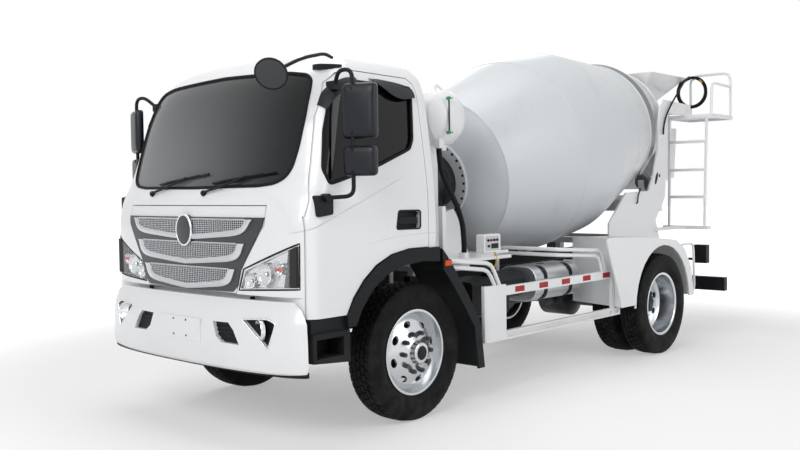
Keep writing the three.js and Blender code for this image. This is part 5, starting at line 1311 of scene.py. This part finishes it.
            y = front(x, 500) + 14
            lip.append([(x, y, 479), (x, y, 512), (x, y + 22, 512), (x, y + 22, 479)])
        extras.rings(lip, 0)
        extras.make(body, slot="black_plastic", bevel=1, angle=50)


class MIXER_OT_mirrors(bpy.types.Operator):
    """Mirror heads on their bent arms, and the round corner mirror"""
    bl_idname = "mixer.mirrors"
    bl_label = "Mirrors"

    def execute(self, context):
        for word, side in SIDES.items():
            node = "mirror_" + word
            body = body_of(node)
            arms = Piece("mirror_arms_" + word, "plastic", side=side)
            arms.tube([(985, -740, 2245), (1075, -790, 2330), (1190, -790, 2320), (1190, -790, 1560),
                       (1100, -930, 1552)], 13, 55, 14)
            arms.prism(flat_bent([(-996, 1436), (-872, 1450), (-872, 1562), (-996, 1568)], 16),
                       "x", 1030, 1098)
            arms.rod((1060, -932, 1552), (1124, -932, 1552), 26, 20)
            arms.box(932, 1008, -766, -714, 2217, 2273)
            for z in (1700, 1842, 1940, 2200):
                arms.box(1174, 1206, -812, -770, z - 14, z + 14)
            arms.make(body, node, "black_plastic", bevel=4)
            heads = Piece("mirror_heads_" + word, "mirror shell", "mirror face", side=side)
            turn = math.radians(20)
            for low, high, half, depth in ((1905, 2240, 112, 32), (1680, 1862, 108, 28)):
                outline = flat_bent([(-half, low), (half, low), (half, high), (-half, high)], 34, 5)
                mid = (low + high) / 2

                def ring(shrink, along):
                    points = []
                    for a, z in outline:
                        a, z = a * shrink, mid + (z - mid) * shrink
                        points.append((1228 + a * math.cos(turn) - along * math.sin(turn),
                                       -768 + a * math.sin(turn) + along * math.cos(turn), z))
                    return points
                shell = ((0.70, -depth), (0.88, -depth * 0.86), (0.965, -depth * 0.5), (1.0, 0),
                         (1.0, depth * 0.7), (0.97, depth * 0.9), (0.93, depth * 0.9))
                heads.rings([ring(share, along) for share, along in shell])
                heads.rings([ring(0.925, depth * 0.8), ring(0.925, depth * 0.94)], 1)
            heads.make(body, slot="black_plastic", angle=50)
        body = body_of("corner_mirror")
        corner = Piece("corner_mirror_round", "plastic", "charcoal")
        corner.tube([(860, -640, 2440), (900, -740, 2452), (930, -960, 2400), (914, -1182, 2290)], 11, 90, 12)
        corner.prism(flat_bent([(792, -756), (868, -756), (928, -640), (928, -612), (792, -612)], 20),
                     "z", 2360, 2392)
        way = Vector((20, -30, -22)).normalized()
        corner.turned([(0, 0), (0, 30), (4, 64), (10, 90), (17, 101), (26, 103), (32, 100), (32, 94)],
                      Vector((905, -1170, 2300)) + way * 2, way, 48)
        corner.turned([(30, 94), (33, 60), (35, 0)], Vector((905, -1170, 2300)) + way * 1, way, 48, 1)
        corner.make(body, "corner_mirror", "black_plastic", bevel=1.5)
        return {"FINISHED"}


class MIXER_OT_interior(bpy.types.Operator):
    """Seats and dashboard"""
    bl_idname = "mixer.interior"
    bl_label = "Cab Interior"

    def execute(self, context):
        softened("cab_seats", "cloth", 14)
        softened("dashboard", "plastic", 5)
        return {"FINISHED"}


def tread_tree():
    """Geometry Nodes: a slice of tread turned round the axle, a given count of times."""
    tree, given = new_tree("tread", Count="Int")
    count = given.outputs["Count"]
    line = add_node(tree, "GeometryNodeMeshLine", inputs={"Count": count, "Offset": (0, 0, 0)})
    index = add_node(tree, "GeometryNodeInputIndex")
    share = add_node(tree, "ShaderNodeMath", {"operation": "DIVIDE"}, {0: index.outputs[0], 1: count})
    angle = add_node(tree, "ShaderNodeMath", {"operation": "MULTIPLY"}, {0: share.outputs[0], 1: 2 * math.pi})
    turn = add_node(tree, "ShaderNodeCombineXYZ", inputs={"X": angle.outputs[0]})
    instances = add_node(tree, "GeometryNodeInstanceOnPoints", inputs={
        "Points": line.outputs[0], "Instance": given.outputs["Geometry"], "Rotation": turn.outputs[0]})
    return end_tree(tree, given, instances)


# Half of a tyre's section, as distance from its middle and radius, from bead to the tread's middle.
TYRE_SIDE = ((80, 287), (84, 300), (97, 322), (110, 350), (115, 378), (114, 402), (109, 428), (104, 445),
             (98, 457))
RIM_FRONT = ((150, 0), (150, 60), (146, 70), (108, 80), (100, 90), (90, 130), (62, 212), (56, 226), (40, 246),
             (30, 256), (60, 268), (93, 280), (93, 296), (88, 298), (80, 287), (60, 270), (-60, 270),
             (-80, 287), (-88, 298), (-93, 296), (-93, 272), (8, 252), (71, 160), (71, 0))
RIM_TWIN = ((109, 0), (109, 70), (104, 82), (32, 96), (28, 110), (60, 205), (70, 236), (86, 254), (232, 272),
            (238, 280), (238, 296), (232, 298), (225, 287), (200, 270), (90, 270), (65, 287), (58, 298),
            (52, 296), (52, 270), (24, 236), (14, 180))


AXLE_HEIGHT = 476
REAR_AXLE = 3360            # the rear axle's place behind the front one
TWIN_SHIFT = 145            # from a twin wheel's middle to each of its tyres


class MIXER_OT_wheels(bpy.types.Operator):
    """Tyres with cut tread, pierced rims, nuts and hub caps"""
    bl_idname = "mixer.wheels"
    bl_label = "Wheels"

    def execute(self, context):
        self.tread = tread_tree()
        for word, side in SIDES.items():
            front, rear = (879, 0), (891, REAR_AXLE)
            self.tyre("front_tyre_" + word, front, side)
            self.tyre("rear_tyre_outer_" + word, (rear[0] + TWIN_SHIFT, rear[1]), side)
            self.tyre("rear_tyre_inner_" + word, (rear[0] - TWIN_SHIFT, rear[1]), side)
            self.rim("front_rim_" + word, front, side, RIM_FRONT, False, 34)
            self.rim("rear_rims_" + word, rear, side, RIM_TWIN, True, 32)
        return {"FINISHED"}

    def tyre(self, node, centre, side):
        body = body_of(node)
        sizes = bpy.context.scene.mixer_sizes
        depth = sizes.tread_depth * 1000
        at = (*centre, AXLE_HEIGHT)
        carcass = Piece(node + "_carcass", "tyre", side=side)
        floor = 475.4 - depth
        right = [*TYRE_SIDE, (90, floor + 1), (60, floor), (0, floor)]
        profile = right + [(-u, r) for u, r in reversed(right[:-1])]
        profile = [(79, 287)] + profile[1:-1] + [(-79, 287)]
        carcass.turned(profile, at, sides=96, closed=True)
        carcass.make(body, node, "tyre_rubber", angle=50)
        count = sizes.tread_blocks
        arc = 2 * math.pi / count
        block = bmesh.new()
        columns = ((-95, -60, 0.0), (-54, -22, 0.45), (-16, 16, 0.1), (22, 54, 0.55), (60, 95, 0.0))
        for low, high, phase in columns:
            crown = (low + high) / 2
            top = 475.7 - (abs(crown) / 95) ** 3 * 6
            tilt = 0.16 * arc * (1 if crown > 0 else -1 if crown < 0 else 0)
            start, end = phase * arc, (phase + 0.84) * arc
            corners = []
            for r, pull in ((floor - 4, 0), (top, 1.2)):
                for u, extra in ((low + pull, 0), (high - pull, 1)):
                    for angle in (start + pull / 476, end - pull / 476):
                        lean = angle + tilt * extra
                        radius = r if abs(u) < 90 or pull == 0 else r - 5
                        corners.append(block.verts.new((side * u / 1000, radius * math.cos(lean) / 1000,
                                                        radius * math.sin(lean) / 1000)))
            a, b, c, d, e, f, g, h = corners
            for loop in ((a, b, d, c), (e, g, h, f), (a, e, f, b), (c, d, h, g), (a, c, g, e), (b, f, h, d)):
                block.faces.new(loop)
        bmesh.ops.recalc_face_normals(block, faces=block.faces)
        ring = grown(block, node + "_tread", self.tread, body, Count=count, Finish=FINISHES["tyre"])
        place = mm(side * at[0], at[1], at[2])
        for vertex in ring.data.vertices:
            vertex.co += place

    def rim(self, node, centre, side, profile, twin, hole_r):
        body = body_of(node)
        at = (*centre, AXLE_HEIGHT)
        if twin:
            profile = profile + tuple((-u, r) for u, r in reversed(RIM_TWIN[6:-2])) + (
                (-70, 236), (-21, 165), (-21, 0))
        blank = Piece(node + "_disc", side=side).turned(profile, at, sides=80).mesh()
        holes = []
        for i in range(8):
            angle = 2 * math.pi * (i + 0.35) / 8
            outward = Vector((math.cos(angle), math.sin(angle)))
            round_way = Vector((-outward.y, outward.x))
            oval = []
            for turn in angles(20):
                oval.append(Vector(at[1:]) + outward * (200 + 0.62 * hole_r * math.cos(turn))
                            + round_way * hole_r * math.sin(turn))
            hole = Piece("hole", side=side).prism(oval, "x", at[0] - 4, at[0] + 160).mesh()
            holes.append(("DIFFERENCE", hole))
        disc = shaped(blank, *holes)
        show(disc, node + "_polished", ["rim"], body, node, bevel=1.5, angle=30)
        places = []
        count = bpy.context.scene.mixer_sizes.wheel_nuts
        nut_u = 44 if twin else 92
        for angle in angles(count):
            places.append(((side * (at[0] + nut_u), at[1] + 134 * math.cos(angle),
                            at[2] + 134 * math.sin(angle)),
                           (side, 0, 0)))
        studs(node + "_nuts", places, body, 18, 34, "steel")
        hub = Piece(node + "_hub", "plastic", side=side)
        if twin:
            hub.turned([(24, 88), (30, 106), (58, 104), (80, 96), (106, 84), (112, 74), (112, 0)], at,
                       sides=40)
        else:
            hub.turned([(100, 0), (100, 66), (132, 62), (148, 54), (152, 44), (152, 0)], at, sides=40)
        hub.make(body, slot="rim_metal")


def along_drum(s, up, across=0):
    """Point on the drum's own axes: along it, up from it and across it."""
    rise, run = math.sin(DRUM_TILT), math.cos(DRUM_TILT)
    return (across, 600 + s * run - up * rise, 1517 + s * rise + up * run)


DRUM_TILT = math.radians(11.36)
DRUM_AXIS = (0, math.cos(DRUM_TILT), math.sin(DRUM_TILT))
DRUM_SHAPE = ((782, 0), (782, 343), (816, 343), (816, 303), (868, 524), (948, 674), (1200, 743), (1500, 820),
              (1700, 870), (1830, 898), (1900, 906), (2100, 911), (2300, 913), (2440, 914), (2490, 911),
              (2540, 902))
WALL = 16


def cone(s):
    """Radius of the drum's rear cone at a place along it."""
    return 916 - 356 * (s - 2490) / 1510


class MIXER_OT_drum(bpy.types.Operator):
    """Mixing drum with its seams, bolted head and ring"""
    bl_idname = "mixer.drum"
    bl_label = "Drum"

    def execute(self, context):
        origin = along_drum(0, 0)
        outer = list(DRUM_SHAPE) + [(2620, cone(2620)), (3468, cone(3468)), (3471, 692), (3475, 696),
                                    (3567, 696), (3571, 692), (3574, cone(3574)), (3990, cone(3990)),
                                    (4000, 560)]
        inner = [(4000, 544)] + [(s, r - WALL) for s, r in reversed(DRUM_SHAPE[4:]) if s < 2560] + [
            (800, 290), (800, 0)]
        profile = outer + [(3998, 548)] + inner
        piece = Piece("drum_skin", "drum")
        piece.turned(profile, origin, DRUM_AXIS, 144)
        body = body_of("mixer_drum")
        piece.make(body, "mixer_drum", "drum_paint", angle=32)
        seams = Piece("drum_seams", "drum", "white", "worn steel")
        for s, r in ((948, 674), (1830, 898), (2490, 910.5), (3010, cone(3010))):
            seams.turned([(s - 7, r - 4), (s - 4, r + 1.6), (s, r + 2.6), (s + 4, r + 1.6), (s + 7, r - 4)],
                         origin, DRUM_AXIS, 96, 0)
        seams.turned([(3478, 686), (3478, 697), (3564, 697), (3564, 686)], origin, DRUM_AXIS, 96, 2)
        seams.turned([(3940, cone(3940) - 3), (3944, cone(3944) + 5), (3990, cone(3990) + 5), (3996, 556)],
                     origin, DRUM_AXIS, 96, 1)
        seams.make(body, slot="drum_paint")
        bolts = []
        for angle in angles(30):
            up, across = 325 * math.cos(angle), 325 * math.sin(angle)
            bolts.append((along_drum(786, up, across), tuple(-Vector(DRUM_AXIS))))
        studs("drum_head_bolts", bolts, body, 13, 14, "steel")
        return {"FINISHED"}


class MIXER_OT_flanks(bpy.types.Operator):
    """Tank straps and cap, water fittings, guards' reflectors and small fittings along the sides"""
    bl_idname = "mixer.flanks"
    bl_label = "Sides"

    def execute(self, context):
        straps = Piece("tank_straps", "plastic")
        outer = flat_bent([(469, 641), (854.6, 641), (854.6, 934.6), (469, 934.6)], 110, 8)
        for y in (1800, 2190):
            straps.rings([[(x, y - 26, z) for x, z in outer], [(x, y + 26, z) for x, z in outer]])
        straps.make("truck", slot="black_plastic", bevel=1)
        marker = Piece("marker_lamps", "amber", "plastic")
        for side in (1, -1):
            marker.side = side
            marker.box(1092, 1104, 176, 246, 1062, 1100, 0)
        marker.make("truck", slot="lamp_lens", bevel=4)
        self.water_fittings()
        self.controls()
        caps = Piece("tank_cap", "plastic", "steel sheet")
        caps.turned([(-4, 0), (-4, 46), (14, 46), (18, 40), (18, 0)], (662, 1995, 918), (0, 0, 1), 32)
        caps.make("truck", slot="black_plastic", bevel=1.5)
        red = Piece("side_reflectors", "red", "plastic")
        for side in (1, -1):
            red.side = side
            for i in range(5):
                y = 1130 + i * 330
                red.box(1050, 1056, y - 62, y + 62, 796, 840, 0)
        red.make("truck", slot="lamp_lens", bevel=1.5)
        return {"FINISHED"}

    def water_fittings(self):
        """Sight tube, green valves and clips of the water tank, and its joint rings."""
        fittings = Piece("water_fittings", "green", "steel sheet", "hose", "white")
        for x in (-640, 640):
            fittings.turned([(x - 5, 204), (x - 3, 207.5), (x + 3, 207.5), (x + 5, 204)], (0, 640, 2130),
                            sides=72, look=3)
        fittings.tube([(834, 556, 2262), (846, 548, 2262), (846, 548, 2010), (834, 556, 2010)], 6, 10, 10,
                      look=2)
        for z in (2262, 2010):
            fittings.rod((826, 552, z), (852, 548, z), 13, 20, 0)
            fittings.box(846, 858, 540, 580, z - 4, z + 4, 0)
        fittings.rod((735, 560, 1912), (735, 560, 1896), 27, 28, 1)
        fittings.make("truck", slot="tank_metal", bevel=1)

    def controls(self):
        """Metal face, knobs and yellow cable of the control box."""
        face = Piece("control_face", "steel sheet", "plastic", "red", "yellow")
        panel = flat_bent([(842, 1120), (1012, 1120), (1012, 1233), (842, 1233)], 12)
        face.prism(panel, "x", 943, 947.5)
        for y, z, look in ((872, 1200, 1), (910, 1200, 2), (948, 1200, 1), (986, 1200, 1), (880, 1156, 1)):
            face.turned([(-2, 0), (-2, 11), (9, 9), (11, 6), (11, 0)], (947, y, z), (1, 0, 0), 20, look)
        face.box(946, 950, 912, 1000, 1136, 1174, 1)
        face.tube([(880, 1018, 1114), (900, 1040, 1080), (890, 1050, 1010), (862, 1046, 960),
                   (846, 1042, 946)], 6,
                  40, 10, look=3)
        face.make("truck", slot="black_plastic", bevel=1)


class MIXER_OT_tail(bpy.types.Operator):
    """Trim of the drum's rear support and the lamps at the tail"""
    bl_idname = "mixer.tail"
    bl_label = "Tail"

    def execute(self, context):
        trim = Piece("support_trim", "dark", "red", "steel")
        oval = []
        for turn in angles(28):
            oval.append((4128 + 26 * math.cos(turn) + 24 * math.sin(turn), 1672 + 62 * math.sin(turn)))
        # near-black oval sheet: painted shade standing in for an opening in the support's side
        trim.prism(oval, "x", 686, 691.5)
        trim.turned([(-3, 0), (-3, 18), (2, 18), (4, 14), (5, 0)], (690, 4196, 1700), (1, 0, 0), 28, 1)
        trim.tube([(690, 3760, 1560), (706, 3752, 1570), (706, 3700, 1500), (706, 3690, 1430),
                   (690, 3690, 1420)],
                  7, 22, 10, 2)
        trim.make("truck", slot="lamp_lens", bevel=0.8)
        tail = Piece("tail_lamps", "red", "amber", "plastic")
        for side in (1, -1):
            tail.side = side
            for i, look in ((0, 0), (1, 1), (2, 0)):
                tail.box(868 + i * 42, 906 + i * 42, 4712, 4719.5, 782, 948, look)
        tail.make("truck", slot="lamp_lens", bevel=1.5)
        return {"FINISHED"}


# Finish, edge radius and nodes of the shapes kept from the CAD.
KEPT_SHAPES = (
    ("chassis", 2, "chassis_frame"),
    ("steel", 3, "front_axle rear_axle knuckle_left knuckle_right engine_block"),
    ("plastic", 4, "exhaust_silencer battery_box"),
    ("flare", 4, "front_mudguard_left front_mudguard_right step_left step_right"),
    ("white", 4, "rear_mudguard_left rear_mudguard_right control_box front_stand"),
    ("white", 4, "rear_support charging_hopper"),
    ("white", 3, "discharge_chute ladder platform side_guard_left side_guard_right"),
    ("white", 0.5, "chute_arm"),
    ("white", 12, "water_tank"),
    ("aluminium", 8, "fuel_tank"),
    ("steel", 4, "drum_gearbox"),
    ("worn steel", 3, "drum_roller_left drum_roller_right"),
    ("plastic", 3, "underrun_bar"),
)


class MIXER_OT_frame(bpy.types.Operator):
    """Everything that keeps its CAD shape: its edges are rounded and it takes its finish"""
    bl_idname = "mixer.frame"
    bl_label = "Frame and Bodywork"

    def execute(self, context):
        for look, bevel, nodes in KEPT_SHAPES:
            for node in nodes.split():
                softened(node, look, bevel)
        return {"FINISHED"}


class MIXER_PT_sidebar(bpy.types.Panel):
    """Colours, sizes and builders of the mixer truck"""
    bl_idname = "MIXER_PT_sidebar"
    bl_label = "Mixer Truck"
    bl_space_type = "VIEW_3D"
    bl_region_type = "UI"
    bl_category = "Mixer Truck"

    def draw(self, context):
        layout = self.layout
        for group in (context.scene.mixer_paint, context.scene.mixer_sizes):
            for name in group.__annotations__:
                layout.prop(group, name)
        for builder in BUILDERS:
            layout.operator(builder.bl_idname)


BUILDERS = (MIXER_OT_hoses, MIXER_OT_stage, MIXER_OT_cab, MIXER_OT_grille, MIXER_OT_cab_front,
            MIXER_OT_mirrors, MIXER_OT_interior, MIXER_OT_wheels, MIXER_OT_drum, MIXER_OT_flanks,
            MIXER_OT_tail, MIXER_OT_frame)
CLASSES = (TruckPaint, TruckSizes, *BUILDERS, MIXER_PT_sidebar)


def register():
    for item in CLASSES:
        bpy.utils.register_class(item)
    bpy.types.Scene.mixer_paint = bpy.props.PointerProperty(type=TruckPaint)
    bpy.types.Scene.mixer_sizes = bpy.props.PointerProperty(type=TruckSizes)


def unregister():
    del bpy.types.Scene.mixer_sizes
    del bpy.types.Scene.mixer_paint
    for item in reversed(CLASSES):
        bpy.utils.unregister_class(item)


def main():
    register()
    FINISHES.update(finishes(bpy.context.scene.mixer_paint))
    for builder in BUILDERS:
        group, name = builder.bl_idname.split(".")
        getattr(getattr(bpy.ops, group), name)()


if __name__ == "__main__":
    main()
